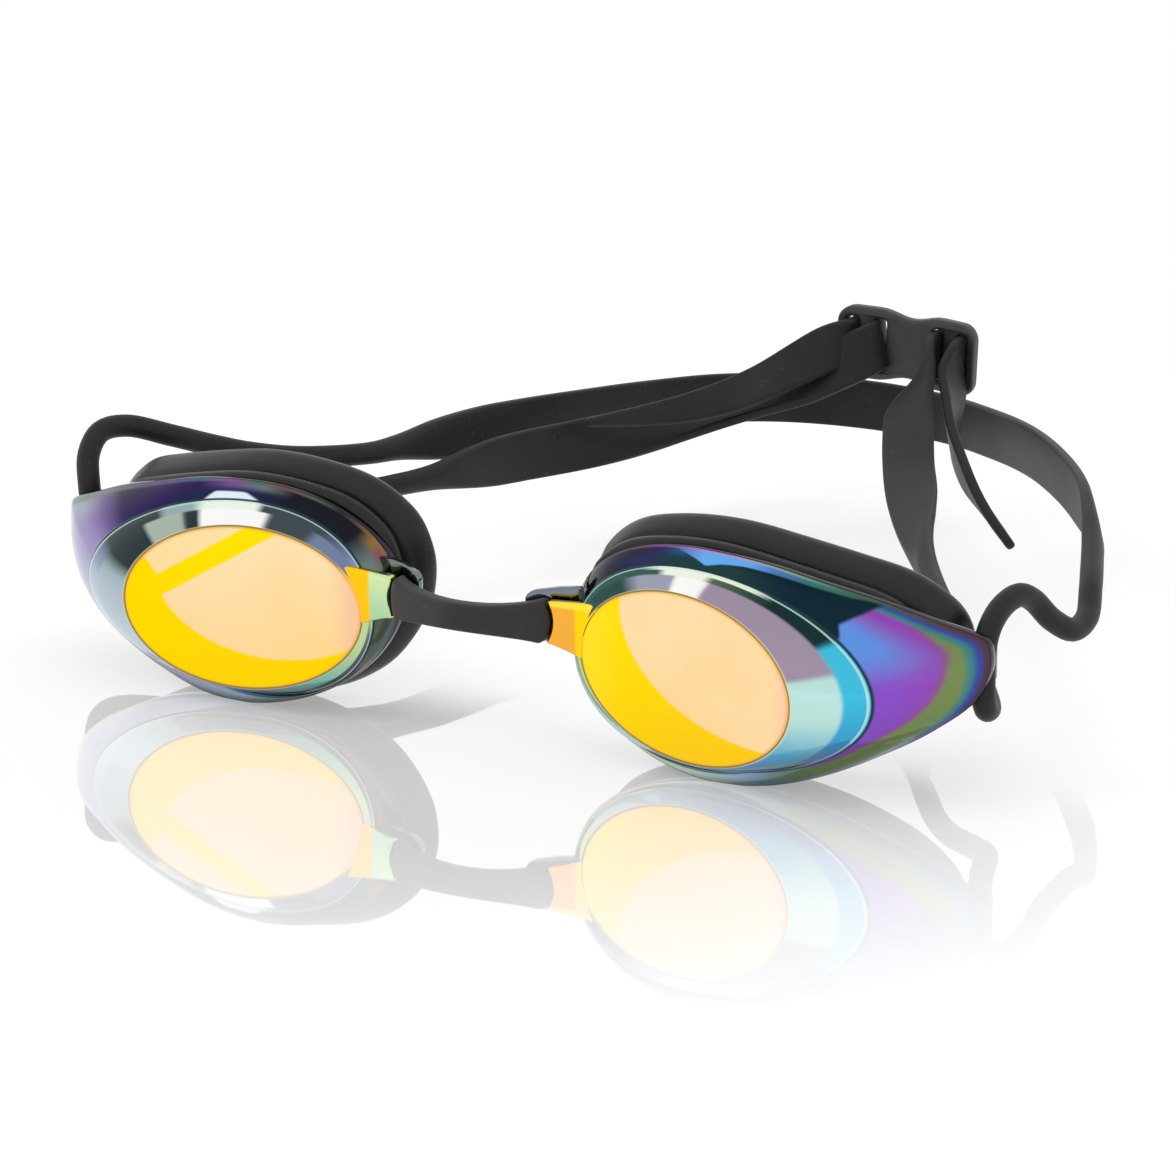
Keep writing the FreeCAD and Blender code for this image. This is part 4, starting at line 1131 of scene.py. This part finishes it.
def make_stage():
    mesh = bpy.data.meshes.new("studio_floor")
    z = TABLE_Z - FLOOR_DROP
    corners = [(x * FLOOR_HALF, y * FLOOR_HALF, z) for x, y in ((-1, -1), (1, -1), (1, 1), (-1, 1))]
    mesh.from_pydata(corners, [], [(0, 1, 2, 3)])
    mesh.materials.append(floor_look())
    floor = bpy.data.objects.new("studio_floor", mesh)
    bpy.context.collection.objects.link(floor)


def area_light(name, location, size, power):
    """A soft light aimed at the origin, which neither the camera nor a mirror sees."""
    light = bpy.data.lights.new(name, "AREA")
    light.shape, light.size, light.size_y, light.energy = "RECTANGLE", size[0], size[1], power
    holder = bpy.data.objects.new(name, light)
    bpy.context.collection.objects.link(holder)
    holder.location = location
    holder.rotation_euler = (-Vector(location)).to_track_quat("-Z", "Y").to_euler()
    holder.visible_camera = False
    holder.visible_glossy = False


def make_lights():
    """A white room, a little dimmer in mirrors overhead and behind, and two soft lights."""
    world = bpy.data.worlds.new("studio")
    bpy.context.scene.world = world
    world.use_nodes = True
    n = Nodes(world.node_tree)
    direction = n.add("ShaderNodeTexCoord").outputs["Generated"]
    parts = n.add("ShaderNodeSeparateXYZ", {"Vector": direction}).outputs
    y, z = parts["Y"], parts["Z"]
    height = n.math("MULTIPLY_ADD", z, 0.5, 0.5)
    mirrored_room = grey_ramp(n, height, [(0.0, 1), (0.6, 1), (0.8, 0.98), (1.0, 0.94)])
    behind = n.product(n.step(y, 0.1, 0.7), n.step(z, 0.1, 0.4), 0.15)
    mirrored_room = n.mix(behind, mirrored_room, (0.2, 0.2, 0.22))
    seen = n.add("ShaderNodeLightPath").outputs
    shade = n.mix(seen["Is Glossy Ray"], (0.92, 0.92, 0.92), mirrored_room)
    shade = n.mix(seen["Is Camera Ray"], shade, (1.0, 1.0, 1.0))
    background = n.add("ShaderNodeBackground", {"Color": shade, "Strength": 1.0})
    n.add("ShaderNodeOutputWorld", {"Surface": background.outputs[0]})
    area_light("overhead_fill", (0.0, -0.1, 1.6), (2.4, 2.4), 9)
    area_light("left_softbox", (-0.75, -0.55, 0.9), (0.5, 0.35), 3)


make_camera()
silicone = rubber("strap_silicone_look", linear(30, 30, 32), 0.5)
make_lenses({side: film("mirror_film_" + side, side) for side in ("left", "right")})
make_gaskets(rubber("gasket_silicone_look", linear(17, 17, 19), 0.36, specular=0.34))
make_bridge(rubber("bridge_rubber_look", linear(48, 48, 50), 0.5))
make_upper_strap(silicone)
make_lower_strap(silicone)
make_buckle(plastic("buckle_plastic_look", linear(46, 46, 50), 0.42))
make_stage()
make_lights()
bpy.context.scene.view_settings.view_transform = "Standard"
